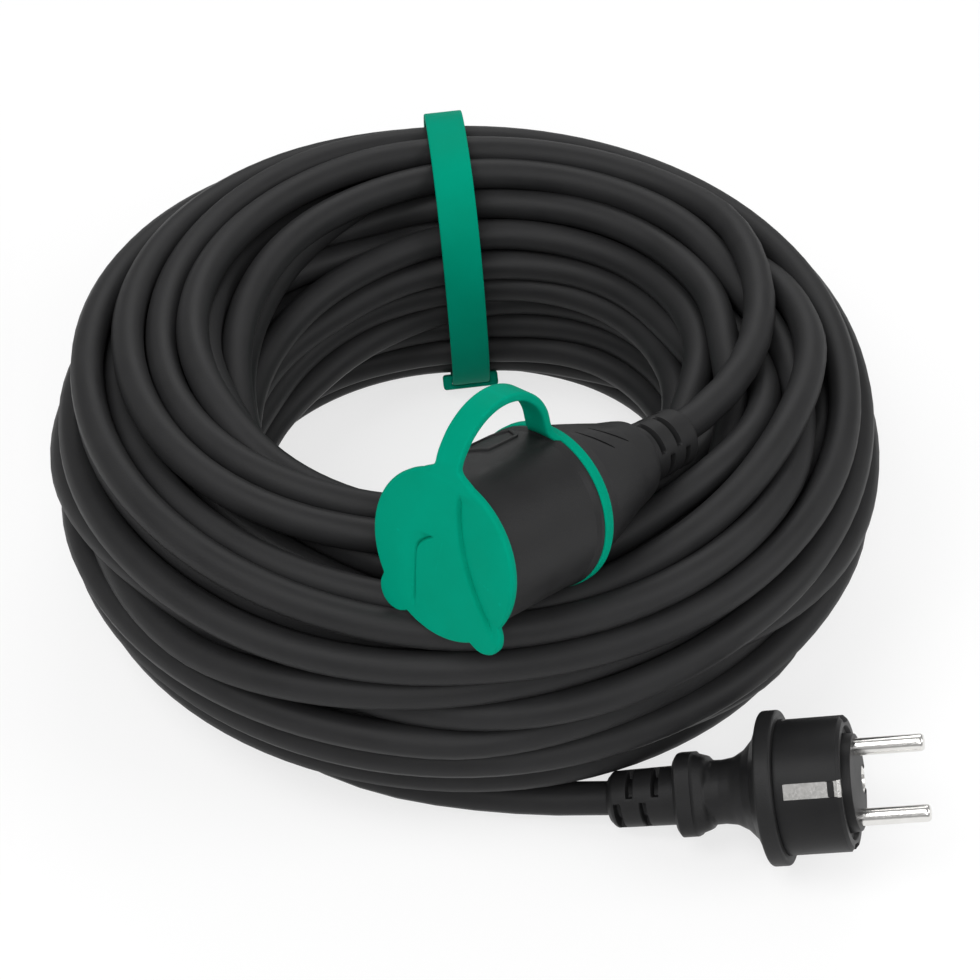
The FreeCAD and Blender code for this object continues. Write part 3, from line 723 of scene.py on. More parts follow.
def grain_group() -> bpy.types.NodeTree:
    """Fine grain of a moulded or extruded surface, made once.

    Returns:
        Group with Mottle and Grain, both 0 to 1.
    """
    known = bpy.data.node_groups.get("moulding_grain")
    if known:
        return known
    group = node_group("moulding_grain", {"Grain Size": 2500.0, "Mottle Size": 60.0}, ("Mottle", "Grain"))
    links, source, out = group.links, group.nodes["in"], group.nodes["out"]
    place = add(group, "ShaderNodeTexCoord")
    fine = add(group, "ShaderNodeTexNoise", detail=3.0, roughness=0.6)
    broad = add(group, "ShaderNodeTexNoise", detail=4.0, roughness=0.55)
    for noise, size in ((fine, "Grain Size"), (broad, "Mottle Size")):
        links.new(place.outputs["Object"], noise.inputs["Vector"])
        links.new(source.outputs[size], noise.inputs["Scale"])
    links.new(ranged(group, broad.outputs["Fac"], (0.3, 0.7)), out.inputs["Mottle"])
    links.new(ranged(group, fine.outputs["Fac"], (0.25, 0.75)), out.inputs["Grain"])
    return group


def rub_group() -> bpy.types.NodeTree:
    """Where handling has rubbed a surface: its outer edges, broken up, made once.

    Returns:
        Group with Edge and Dust masks, 0 to 1.
    """
    known = bpy.data.node_groups.get("rubbed_edges")
    if known:
        return known
    group = node_group("rubbed_edges", {"Patch Size": 220.0}, ("Edge", "Dust"))
    links, source, out = group.links, group.nodes["in"], group.nodes["out"]
    place = add(group, "ShaderNodeTexCoord")
    shape = add(group, "ShaderNodeNewGeometry")
    patch = add(group, "ShaderNodeTexNoise", detail=5.0, roughness=0.65)
    links.new(place.outputs["Object"], patch.inputs["Vector"])
    links.new(source.outputs["Patch Size"], patch.inputs["Scale"])
    broken = ranged(group, patch.outputs["Fac"], (0.38, 0.62))
    for mask, limits in (("Edge", (0.52, 0.62)), ("Dust", (0.49, 0.42))):
        part = ranged(group, shape.outputs["Pointiness"], limits)
        links.new(math_node(group, "MULTIPLY", part, broken), out.inputs[mask])
    return group


@dataclass(frozen=True)
class Surface:
    """What every finish shares: a name, a new material and its grain."""

    name: str

    def started(self) -> tuple[bpy.types.Material, bpy.types.NodeTree, bpy.types.Node]:
        """New material with its node tree and its shader.

        Returns:
            The material, its tree and its shader.
        """
        material = bpy.data.materials.new(self.name)
        material.use_nodes = True
        return material, material.node_tree, material.node_tree.nodes["Principled BSDF"]

    @staticmethod
    def grained(tree: bpy.types.NodeTree, **sizes: float) -> bpy.types.Node:
        """Grain of the surface, with its sizes where they aren't the usual ones."""
        return add(tree, "ShaderNodeGroup", node_tree=grain_group(), **sizes)

    @staticmethod
    def raised(tree: bpy.types.NodeTree, shader: bpy.types.Node, height: bpy.types.NodeSocket,
               depth: float) -> None:
        """Raises the shader's surface by a height map, its depth in mm.

        Args:
            tree: the material's tree.
            shader: its shader.
            height: the height map.
            depth: its depth in mm.
        """
        bump = add(tree, "ShaderNodeBump", strength=1.0, distance=depth * MM)
        tree.links.new(height, bump.inputs["Height"])
        tree.links.new(bump.outputs["Normal"], shader.inputs["Normal"])


@dataclass(frozen=True)
class MouldedFinish(Surface):
    """Rubber or plastic with a fine grain, faint mottling and rubbed edges."""

    colour: Colour
    mottled: Colour
    rubbed: Colour
    roughness: tuple[float, float] = (0.42, 0.55)
    specular: float = 0.5
    grain_size: float = 2500.0
    mottle_size: float = 60.0
    grain_depth: float = 0.03
    wear: float = 0.35

    def material(self) -> bpy.types.Material:
        """Builds the finish's material.

        Returns:
            The material.
        """
        material, tree, shader = self.started()
        shader.inputs["Specular IOR Level"].default_value = self.specular
        grain = self.grained(tree, grain_size=self.grain_size, mottle_size=self.mottle_size)
        rub = add(tree, "ShaderNodeGroup", node_tree=rub_group())
        base = blended(tree, self.colour, self.mottled, grain.outputs["Mottle"])
        worn = math_node(tree, "MULTIPLY", rub.outputs["Edge"], self.wear)
        tree.links.new(blended(tree, base, self.rubbed, worn), shader.inputs["Base Color"])
        rough = ranged(tree, grain.outputs["Mottle"], (0.0, 1.0), self.roughness)
        tree.links.new(rough, shader.inputs["Roughness"])
        self.raised(tree, shader, grain.outputs["Grain"], self.grain_depth)
        return material


@dataclass(frozen=True)
class PlatedFinish(Surface):
    """Bright plate or bare spring metal with faint drawing lines and a little tarnish."""

    colour: Colour
    tarnish: Colour
    roughness: tuple[float, float] = (0.12, 0.28)
    grain_size: float = 1800.0
    mottle_size: float = 180.0
    grain_depth: float = 0.004
    tarnished: float = 0.35

    def material(self) -> bpy.types.Material:
        """Builds the finish's material.

        Returns:
            The material.
        """
        material, tree, shader = self.started()
        shader.inputs["Metallic"].default_value = 1.0
        grain = self.grained(tree, grain_size=self.grain_size, mottle_size=self.mottle_size)
        rub = add(tree, "ShaderNodeGroup", node_tree=rub_group())
        dulled = math_node(tree, "MULTIPLY", grain.outputs["Mottle"], self.tarnished)
        tree.links.new(blended(tree, self.colour, self.tarnish, dulled), shader.inputs["Base Color"])
        dusty = math_node(tree, "MAXIMUM", grain.outputs["Grain"], rub.outputs["Dust"])
        tree.links.new(ranged(tree, dusty, (0.0, 1.0), self.roughness), shader.inputs["Roughness"])
        self.raised(tree, shader, grain.outputs["Grain"], self.grain_depth)
        return material


@dataclass(frozen=True)
class StripedFinish(Surface):
    """Insulation of the earth core: yellow with a green stripe that winds along it."""

    green: Colour
    yellow: Colour
    pitch: float = 420.0
    roughness: tuple[float, float] = (0.35, 0.5)

    def material(self) -> bpy.types.Material:
        """Builds the finish's material.

        Returns:
            The material.
        """
        material, tree, shader = self.started()
        place = add(tree, "ShaderNodeTexCoord")
        wave = add(tree, "ShaderNodeTexWave", scale=self.pitch, distortion=0.6)
        tree.links.new(place.outputs["Object"], wave.inputs["Vector"])
        stripe = ranged(tree, wave.outputs["Fac"], (0.45, 0.55))
        tree.links.new(blended(tree, self.green, self.yellow, stripe), shader.inputs["Base Color"])
        rough = ranged(tree, self.grained(tree).outputs["Mottle"], (0.0, 1.0), self.roughness)
        tree.links.new(rough, shader.inputs["Roughness"])
        return material


class Slot(Enum):
    """The record's material slots, each with its finish."""

    CABLE = MouldedFinish("cable_rubber", (0.0162, 0.0162, 0.0168), (0.021, 0.021, 0.0217),
                          (0.05, 0.05, 0.05), roughness=(0.48, 0.58), specular=0.17,
                          grain_size=1900.0, grain_depth=0.025, wear=0.0)
    MOULDED = MouldedFinish("moulded_rubber", (0.0125, 0.0125, 0.013), (0.0165, 0.0165, 0.017),
                            (0.04, 0.04, 0.04),
                            roughness=(0.42, 0.54), specular=0.2, grain_depth=0.035)
    CARRIER = MouldedFinish("carrier_plastic", (0.0085, 0.0085, 0.009), (0.0115, 0.0115, 0.012),
                            (0.03, 0.03, 0.03),
                            roughness=(0.42, 0.52), specular=0.2, grain_depth=0.015)
    GREEN = MouldedFinish("green_rubber", (0.0, 0.248, 0.152), (0.0, 0.27, 0.17), (0.0, 0.34, 0.235),
                          roughness=(0.5, 0.6), specular=0.015, grain_depth=0.02, wear=0.5)
    NICKEL = PlatedFinish("nickel", (0.82, 0.81, 0.79), (0.62, 0.60, 0.57))
    BRASS = PlatedFinish("contact_brass", (0.75, 0.60, 0.30), (0.55, 0.40, 0.18), (0.22, 0.38))
    BROWN = MouldedFinish("core_brown", (0.16, 0.06, 0.02), (0.14, 0.05, 0.018), (0.2, 0.09, 0.04))
    BLUE = MouldedFinish("core_blue", (0.02, 0.12, 0.5), (0.018, 0.10, 0.42), (0.06, 0.2, 0.55))
    EARTH = StripedFinish("core_green_yellow", (0.05, 0.3, 0.05), (0.75, 0.62, 0.03))


class Finishes:
    """Materials of the part, each built once when first asked for."""

    def __init__(self) -> None:
        """Starts with no material built."""
        self.made: dict[str, bpy.types.Material] = {}

    def of(self, slot: Slot) -> bpy.types.Material:
        """Material of a slot.

        Args:
            slot: the slot.

        Returns:
            Its material.
        """
        if slot.name not in self.made:
            self.made[slot.name] = slot.value.material()
        return self.made[slot.name]

    def dress(self, piece: bpy.types.Object, slot: Slot, body: str, *nodes: str) -> bpy.types.Object:
        """Dresses a new piece in a slot's finish."""
        return dressed(piece, self.of(slot), slot.value.name, body, *nodes)

    def dress_nodes(self) -> None:
        """Gives every CAD node the finish of its own slot in the record."""
        by_name = {slot.value.name: slot for slot in Slot}
        for part in frame["record"]["subparts"]:
            shown = frame["nodes"][part["node"]]
            shown.data.materials.clear()
            shown.data.materials.append(self.of(by_name[part["material_slot"]]))


# ---------------------------------------------------------------- cable


@dataclass(frozen=True)
class Layer:
    """Turns that lie at one depth of the bundle and wind round it at one rate."""

    turns: int
    depth: float
    rate: float


@dataclass
class CoiledCable:
    """The rubber cable: both leads and the coil between them as one smooth line."""

    diameter: float = 9.5
    length: float = 25000.0
    laps: int = 43
    step_deg: float = 10.0
    outer_r: float = 123.0
    eye_r: float = 56.3
    eye_skew: float = 6.4
    height: float = 93.8
    lean: float = 7.5
    lean_az: float = 241.5
    seed: int = 622
    passes: int = 600
    first_deg: float = 50.0
    last_deg: float = 200.0
    first_phi: float = 66.5
    last_phi: float = -72.0
    wander: float = 0.25
    wander_steps: float = 11.0
    sways: tuple[tuple[int, float, float], ...] = ((1, 15.9, 82.4), (2, 9.5, 324.5))
    parting: tuple[float, float, float, float, float] = (215.0, 32.0, 24.0, 34.0, 24.0)
    parting_peak: float = 2.33
    cavity: tuple[float, float, float] = (50.0, 38.0, 13.0)
    layers: tuple[Layer, ...] = (Layer(21, 1.0, 5 / 22), Layer(14, 0.66, 1 / 14), Layer(7, 0.3, 2 / 7))
    coupler_lead: tuple[Place, ...] = ((82.5, -10.0, 86.0), (87.4, 24.7, 84.5), (80.5, 57.0, 83.0))
    plug_lead: tuple[Place, ...] = ((-80.0, -62.0, 6.5), (-55.0, -82.5, 4.9), (-26.0, -99.4, 4.85),
                                    (6.3, -105.8, 4.9))
    coupler_end: tuple[float, float] = (-67.0, -101.5)
    plug_end: tuple[float, float] = (-51.2, -18.6)
    lead_from: float = -30.0
    lead_to: float = 290.0
    coupler_rods: tuple[tuple[float, float], ...] = (
        (0.0, 21.9), (-35.0, 21.9), (-41.0, 21.6), (-57.0, 15.6), (-70.0, 11.8), (-81.0, 9.9), (-99.0, 7.4))
    plug_rods: tuple[tuple[float, float], ...] = (
        (0.0, 21.5), (-8.0, 18.0), (-16.0, 11.6), (-29.0, 11.6), (-31.0, 8.3), (-50.0, 7.6))
    cap_front: float = 3.6
    cap_r: float = 24.5
    ear_r: float = 5.8
    rod_gap: float = 0.3
    slack: float = 0.15
    thin: float = 0.15
    growth: float = 1.15
    grown_at: float = 0.6
    homing: float = 0.05
    homing_ends: float = 0.85
    last_from: float = 0.9
    push: float = 0.42
    far_off: float = 1000.0

    def lead_points(self) -> tuple[np.ndarray, np.ndarray]:
        """Route points of the coupler's lead and of the plug's lead, in mm.

        Returns:
            The coupler lead's points and the plug lead's.
        """
        start = [tuple(COUPLER_SEAT.point(x, 0, 0) / MM) for x in self.coupler_end]
        end = [tuple(PLUG_SEAT.point(x, 0, 0) / MM) for x in self.plug_end]
        return np.array([*start, *self.coupler_lead]), np.array([*self.plug_lead, *end])

    def section(self, theta: np.ndarray) -> tuple[np.ndarray, ...]:
        """Middle and half sizes of the bundle's section, for the cable's centre line.

        Args:
            theta: azimuths in radians.

        Returns:
            Middle radius, middle height, half width and half height, in mm.
        """
        eye = self.eye_r + self.eye_skew * np.sin(2 * theta)
        tall = self.height + self.lean * np.cos(theta - math.radians(self.lean_az))
        middle = (self.outer_r + eye) / 2
        half_w = (self.outer_r - eye) / 2 - self.diameter / 2
        half_h = tall / 2 - self.diameter / 2
        return middle, tall / 2, half_w, half_h

    def winding(self, lap: np.ndarray) -> tuple[np.ndarray, np.ndarray]:
        """How the turns wind round the bundle, layer after layer, from lead to lead.

        Args:
            lap: laps since the coil's first point.

        Returns:
            Angle in the section, in degrees, and depth, as a share of the section.
        """
        laps, angles = [0.0], [self.first_phi]
        for layer in self.layers:
            laps.append(laps[-1] + layer.turns)
            angles.append(angles[-1] + 360.0 * layer.rate * layer.turns)
        end = self.laps + (self.last_deg - self.first_deg) / 360.0
        ahead = angles[-1] + 100.0 * (end - laps[-1])
        laps.append(end)
        angles.append(self.last_phi + 360.0 * round((ahead - self.last_phi) / 360.0))
        at = np.clip(lap, 0, None)
        angle = np.interp(at, laps, angles)
        kernel = np.hanning(19) / np.hanning(19).sum()
        angle[9:-9] = np.convolve(angle, kernel, "same")[9:-9]
        depth = np.ones_like(at)
        for k in range(1, len(self.layers)):
            step = self.layers[k].depth - self.layers[k - 1].depth
            depth += step * smoothstep(at - laps[k], -0.45, 0.45)
        depth += (1.0 - self.layers[-1].depth) * smoothstep(at, laps[-2], end)
        return angle, depth

    def wandering(self, count: int) -> np.ndarray:
        """Slow random drift of the cable in the section, of unit size.

        Args:
            count: number of points along the cable.

        Returns:
            Two values at each point.
        """
        rng = np.random.default_rng(self.seed)
        drift = rng.normal(size=(int(count / self.wander_steps) + 4, 2))
        knots = np.arange(len(drift)) * self.wander_steps
        kernel = np.hanning(int(2 * self.wander_steps) + 1)
        kernel /= kernel.sum()
        places = np.arange(count, dtype=float)
        rough = [np.interp(places, knots, drift[:, k]) for k in (0, 1)]
        noise = np.stack([np.convolve(row, kernel, "same") for row in rough], axis=-1)
        return noise / noise.std()

    def targets(self, theta: np.ndarray, lap: np.ndarray) -> np.ndarray:
        """Where each point would lie in the section if it met no other turn.

        Args:
            theta: azimuths in radians.
            lap: laps since the coil's first point.

        Returns:
            Two shares of the section's half sizes at each point.
        """
        angle, depth = self.winding(lap)
        for waves, size, start in self.sways:
            angle = angle + size * np.sin(waves * theta - math.radians(start))
        angle = np.radians(angle)
        target = np.stack([depth * np.cos(angle), depth * np.sin(angle)], axis=-1)
        target = target + self.wander * self.wandering(len(theta))
        depth = np.linalg.norm(target, axis=1)
        phi = np.arctan2(target[:, 1], target[:, 0])
        azimuth, middle, wide, tall, size = np.radians(self.parting)
        along = np.angle(np.exp(1j * (theta - azimuth))) / wide
        beside = np.angle(np.exp(1j * (phi - middle))) / tall
        apart = self.parting_peak * beside * np.exp(-beside ** 2) * np.exp(-along ** 2)
        phi = phi + size * apart * smoothstep(depth, 0.5, 0.9)
        return np.stack([depth * np.cos(phi), depth * np.sin(phi)], axis=-1)

    def lead_track(self, points: np.ndarray, degrees: np.ndarray) -> np.ndarray:
        """Where a lead crosses the planes at the given azimuths.

        Args:
            points: the lead's route points in mm.
            degrees: azimuths of the planes.

        Returns:
            (r, z) at each plane.
        """
        azimuth = np.degrees(np.unwrap(np.arctan2(points[:, 1], points[:, 0])))
        radius = np.hypot(points[:, 0], points[:, 1])
        azimuth = azimuth + 360 * round((degrees.mean() - azimuth.mean()) / 360)
        tracks = [np.interp(degrees, azimuth, values) for values in (radius, points[:, 2])]
        return np.stack(tracks, axis=-1)

    def obstacles(self) -> list[Rod]:
        """Round bodies that the turns lie against.

        Returns:
            Start, end, and the radius at each, of each tapered rod, in mm.
        """
        def rod(seat: Seat, start: Place, end: Place, r0: float, r1: float) -> Rod:
            """Tapered rod between two local points."""
            return np.array(seat.point(*start)) / MM, np.array(seat.point(*end)) / MM, r0, r1

        rods = []
        for seat, steps in ((COUPLER_SEAT, self.coupler_rods), (PLUG_SEAT, self.plug_rods)):
            rods.extend(rod(seat, (x0, 0, 0), (x1, 0, 0), r0, r1)
                        for (x0, r0), (x1, r1) in zip(steps, steps[1:]))
        rods.append(rod(COUPLER_SEAT, (self.cap_front, 0, 0), (0, 0, 0), self.cap_r, self.cap_r))
        cap = DustCap()
        for angle in (cap.ear_deg, -cap.ear_deg):
            y, z = cap.ear_at * math.sin(math.radians(angle)), cap.ear_at * math.cos(math.radians(angle))
            rods.append(rod(COUPLER_SEAT, (3.0, y, z), (0, y, z), self.ear_r, self.ear_r))
        return rods

    def spread(self, place: np.ndarray, rows: int, gap: float) -> np.ndarray:
        """Moves apart the points of each azimuth that are closer than a gap.

        Args:
            place: (r, z) of the points, lap after lap.
            rows: number of laps.
            gap: least distance in mm.

        Returns:
            The points' new places.
        """
        grid = place.reshape(rows, -1, 2).transpose(1, 0, 2)
        apart = grid[:, :, None, :] - grid[:, None, :, :]
        space = np.sqrt((apart ** 2).sum(-1)) + 1e-9
        push = np.clip(gap - space, 0, None) / space
        push[:, np.arange(rows), np.arange(rows)] = 0
        move = self.push * (apart * push[..., None]).sum(2)
        return place + move.transpose(1, 0, 2).reshape(-1, 2)

    def cleared(self, place: np.ndarray, theta: np.ndarray, rods: list[Rod]) -> np.ndarray:
        """Moves points out of the round bodies that the turns lie against.

        Args:
            place: (r, z) of the points.
            theta: their azimuths in radians.
            rods: the bodies, as obstacles() gives them.

        Returns:
            The points' new places.
        """
        cos, sin = np.cos(theta), np.sin(theta)
        for start, end, r0, r1 in rods:
            world = np.stack([place[:, 0] * cos, place[:, 0] * sin, place[:, 1]], axis=-1)
            line = end - start
            share = np.clip((world - start) @ line / (line @ line), 0, 1)
            away = world - (start + share[:, None] * line)
            space = np.linalg.norm(away, axis=1) + 1e-9
            lack = np.clip(r0 + (r1 - r0) * share + self.diameter / 2 + self.rod_gap - space, 0, None)
            way = away / space[:, None]
            plane = np.stack([way[:, 0] * cos + way[:, 1] * sin, way[:, 2]], axis=-1)
            size = np.clip((plane ** 2).sum(1), 0.25, None)
            place = place + plane * (lack / size)[:, None]
        return place

    def kept_in(self, place: np.ndarray, theta: np.ndarray) -> np.ndarray:
        """Keeps points out of the hollow of the eye's wall and inside the bundle's section.

        Args:
            place: (r, z) of the points.
            theta: their azimuths in radians.

        Returns:
            The points' new places.
        """
        radius, height, reach = self.cavity
        centre = np.stack([radius + self.eye_skew * np.sin(2 * theta), np.full_like(theta, height)], axis=-1)
        away = place - centre
        space = np.linalg.norm(away, axis=1) + 1e-9
        lack = np.clip(reach + self.diameter / 2 - space, 0, None)
        place = place + away / space[:, None] * lack[:, None]
        middle, mid_z, half_w, half_h = self.section(theta)
        out = np.stack([(place[:, 0] - middle) / half_w, (place[:, 1] - mid_z) / half_h], axis=-1)
        far = np.maximum(np.linalg.norm(out, axis=1), 1.0)
        return np.stack([middle + half_w * out[:, 0] / far, mid_z + half_h * out[:, 1] / far], axis=-1)

    def relaxed(self) -> tuple[np.ndarray, np.ndarray]:
        """Packs the turns: they grow to their thickness, push apart and bend gently.

        Returns:
            Azimuths in radians and (r, z) in mm of the coil's points.
        """
        ring = int(round(360 / self.step_deg))
        before = int(round((self.first_deg - self.lead_from) / self.step_deg))
        count = int(round((360 * self.laps + self.last_deg - self.first_deg) / self.step_deg)) + 1
        after = int(round((self.lead_to - self.last_deg) / self.step_deg))
        total = before + count + after
        rows = -(-total // ring)
        theta = math.radians(self.lead_from) + math.radians(self.step_deg) * np.arange(rows * ring)
        middle, mid_z, half_w, half_h = self.section(theta)
        target = self.targets(theta, (np.arange(rows * ring) - before) / ring)
        goal = np.stack([middle + half_w * target[:, 0], mid_z + half_h * target[:, 1]], axis=-1)

        start, end = self.lead_points()
        place = goal.copy()
        place[:before] = self.lead_track(start, self.lead_from + self.step_deg * np.arange(before))
        tail = self.last_deg + self.step_deg * (1 + np.arange(after))
        place[before + count:total] = self.lead_track(end, tail)
        place[total:] = self.far_off
        held = place.copy()
        fixed = np.ones(rows * ring, bool)
        fixed[before:before + count] = False
        rods = self.obstacles()

        for number in range(self.passes):
            at = number / self.passes
            last = at >= self.last_from
            gap = (self.diameter + self.slack) * min(1.0, self.thin + self.growth * at / self.grown_at)
            if at < self.homing_ends:
                place += self.homing * (1 - at) * (goal - place)
            for _ in range(1 if last else 2):
                place[1:-1] = 0.5 * place[1:-1] + 0.25 * (place[:-2] + place[2:])
                place[fixed] = held[fixed]
            for _ in range(4 if last else 2):
                place = self.spread(place, rows, gap)
                place[fixed] = held[fixed]
            if number % 3 == 0 or at > 0.8:
                place = self.cleared(place, theta, rods)
            place = self.kept_in(place, theta)
            place[fixed] = held[fixed]
        keep = slice(before, before + count)
        return theta[keep], place[keep]

    def line(self) -> np.ndarray:
        """Control points of the whole cable, from the coupler to the plug, in mm.

        Returns:
            The points, one in each row.
        """
        theta, place = self.relaxed()
        grown = place[:, 0] / (0.75 + 0.25 * math.cos(math.radians(self.step_deg)))
        coil = np.stack([grown * np.cos(theta), grown * np.sin(theta), place[:, 1]], axis=-1)
        start, end = self.lead_points()
        return np.concatenate([start, coil, end])

    def build(self, finishes: Finishes) -> bpy.types.Object:
        """Lays the cable as one spline and dresses it.

        Args:
            finishes: the part's finishes.

        Returns:
            The cable.
        """
        points = self.line() * MM
        curve = bpy.data.curves.new("rubber_cable", "CURVE")
        curve.dimensions = "3D"
        curve.bevel_depth = self.diameter * MM / 2
        curve.bevel_resolution = 4
        curve.use_fill_caps = True
        spline = curve.splines.new("NURBS")
        spline.points.add(len(points) - 1)
        spline.points.foreach_set("co", np.c_[points, np.ones(len(points))].ravel())
        spline.order_u = 3
        spline.use_endpoint_u = True
        spline.resolution_u = 3
        spline.use_smooth = True
        line = linked("rubber_cable", curve)
        curve.materials.append(finishes.of(Slot.CABLE))
        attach(line, ROOT)
        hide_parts("cable_coil", "coupler_lead", "plug_lead")
        LOG.info("cable: spline of %d points", len(points))
        return line

    def declare(self, plug_pieces: list[object]) -> None:
        """Logs how long the cable is and how many pieces lie on its far end.

        Args:
            plug_pieces: pieces and nodes on its far end.
        """
        LOG.info("cable: %.0f m, ends in %d plug pieces", self.length * MM, len(plug_pieces))


# ---------------------------------------------------------------- coupler


@dataclass
class Coupler:
    """Moulded coupler: cup, shoulder, bare marking window and the slotted strain relief."""

    seat: Seat = COUPLER_SEAT
    cup_r: float = 21.75
    ring_front: float = -35.35
    ring_back: float = -39.05
    neck_x: float = -73.0
    relief_l: float = 21.5
    window: tuple[float, float, float, float] = (-23.5, 17.6, 10.8, 23.5)
    pocket_half: float = 2.9
    pocket_r: float = 21.0
    grooves: tuple[tuple[Place, Place], ...] = (((-45.6, 18.9, 5.0), (-54.3, 16.4, 32.0)),
                                                ((-53.2, 16.8, 0.5), (-62.8, 13.8, 29.0)))
    groove_half: float = 0.62
    groove_steps: int = 13

    def body(self) -> bpy.types.Object:
        """Cup and shoulder, hollow, with the recess and the two clip pockets.

        Returns:
            The piece.
        """
        front, back = self.ring_front, self.ring_back
        outline = rounded([
            (self.neck_x, 9.9, 0.5), (self.neck_x + 0.7, 11.4, 1.0), (-70.0, 12.1, 1.5), (-64.0, 13.5, 8),
            (-57.0, 15.7, 8), (-50.0, 17.8, 8), (back - 5.0, 19.5, 5), (back, 21.45, 0.4),
            (back, 20.85, 0.1), (front, 20.85, 0.1), (front, 22.25, 0.3), (front + 1.2, 22.25, 0.5),
            (front + 2.8, self.cup_r, 1.0), (-0.8, self.cup_r, 0.9), (0.0, 20.9, 0.3),
            (0.0, 20.5, 0.2), (-0.6, 19.9, 0.2), (-4.2, 19.9, 0), (-4.2, 19.1, 0.1), (-13.5, 19.1, 0),
            (-13.5, 19.5, 0), (-17.5, 19.5, 0), (-17.5, 18.05, 0), (-38.5, 18.05, 0), (-38.5, 15.0, 0),
            (-40.5, 15.0, 0), (-47.5, 12.5, 0), (-69.0, 4.8, 0),
            (self.neck_x + 0.5, 4.8, 0), (self.neck_x + 0.5, 7.45, 0), (self.neck_x, 7.45, 0.2)])
        outline = densified(outline, 2.0)

        def pockets(x: np.ndarray, r: np.ndarray, phi: np.ndarray) -> np.ndarray:
            """Opens a pocket behind each clip in the recess's wall."""
            near = (np.abs(r * np.sin(phi)) < self.pocket_half) & (r > 18.5) & (r < 20.2)
            return np.where(near & (x < -2.4) & (x > -17.6), self.pocket_r, r)

        angles = around(128, 8.7, 171.3, 188.7, 351.3)
        body = self.seat.lathe("coupler_body_look", outline, angles, 35, relief=pockets)
        return carved(body, [self.groove(*ends, side) for side in (0.0, 180.0) for ends in self.grooves])

    def groove(self, start: Place, end: Place, side: float) -> bpy.types.Object:
        """Closed cutter of a slanting grip groove on the shoulder.

        Args:
            start: (x, r, degrees from the top) of its front end.
            end: the same of its back end.
            side: turn of the whole groove about the axis, in degrees.

        Returns:
            The cutter.
        """
        rows = self.groove_steps
        x, r, phi = [np.linspace(low, high, rows) for low, high in zip(start, end)]
        phi = np.radians(phi + side)
        path, out = polar(x, r, phi), polar(0.0, 1.0, phi)
        across = unit(np.cross(np.gradient(path, axis=0), out))
        wide = self.groove_half * np.sqrt(np.sin(np.linspace(0.12, math.pi - 0.12, rows)))
        corners = [(-1.0, 0.9), (1.0, 0.9), (0.55, -0.75), (-0.55, -0.75)]
        points = np.stack([path + across * (u * wide)[:, None] + out * v for u, v in corners], axis=1)
        faces = grid_faces(rows, len(corners)) + end_faces(rows, len(corners))
        return self.seat.solid("groove_cut", points, faces)

    def marking_window(self) -> bpy.types.Object:
        """Low six-sided line round the bare marking window.

        Returns:
            The piece.
        """
        middle, long, wide, around_deg = self.window
        a, b, c = long / 2 - 0.4, wide / 2 - 0.4, 0.62 * long / 2
        corners = [(-a, 0.0, 0.8), (-c, -b, 0.8), (c, -b, 0.8), (a, 0.0, 0.8), (c, b, 0.8), (-c, b, 0.8)]
        ring = densified(rounded(corners, steps=3), 0.8)
        ahead = unit(np.roll(ring, -1, axis=0) - np.roll(ring, 1, axis=0))
        side = np.stack([-ahead[:, 1], ahead[:, 0]], axis=-1)
        outline = rounded([(-0.55, -0.3, 0), (-0.5, 0.6, 0.25), (0.5, 0.6, 0.25), (0.55, -0.3, 0)], steps=2)
        flat = ring[:, None, :] + side[:, None, :] * outline[None, :, :1]
        radius = self.cup_r + np.repeat(outline[None, :, 1], len(ring), axis=0)
        phi = math.radians(around_deg) * -1 + flat[..., 1] / self.cup_r
        points = polar(middle + flat[..., 0], radius, phi)
        faces = grid_faces(len(ring), len(outline), wrap_rows=True)
        return self.seat.solid("marking_window", points, faces)

    def build(self, finishes: Finishes) -> None:
        """Makes and dresses the coupler's outside.

        Args:
            finishes: the part's finishes.
        """
        finishes.dress(self.body(), Slot.MOULDED, ROOT, "coupler_body")
        finishes.dress(self.marking_window(), Slot.MOULDED, ROOT)
        relief = StrainRelief(self.seat, self.neck_x, self.relief_l, 8.7, 8.3, first_row_deg=26.0,
                              pitch=7.0, spigot_l=0.5)
        finishes.dress(relief.sleeve("coupler_relief_look"), Slot.MOULDED, ROOT, "coupler_relief")
        LOG.info("coupler: cup, window and strain relief")


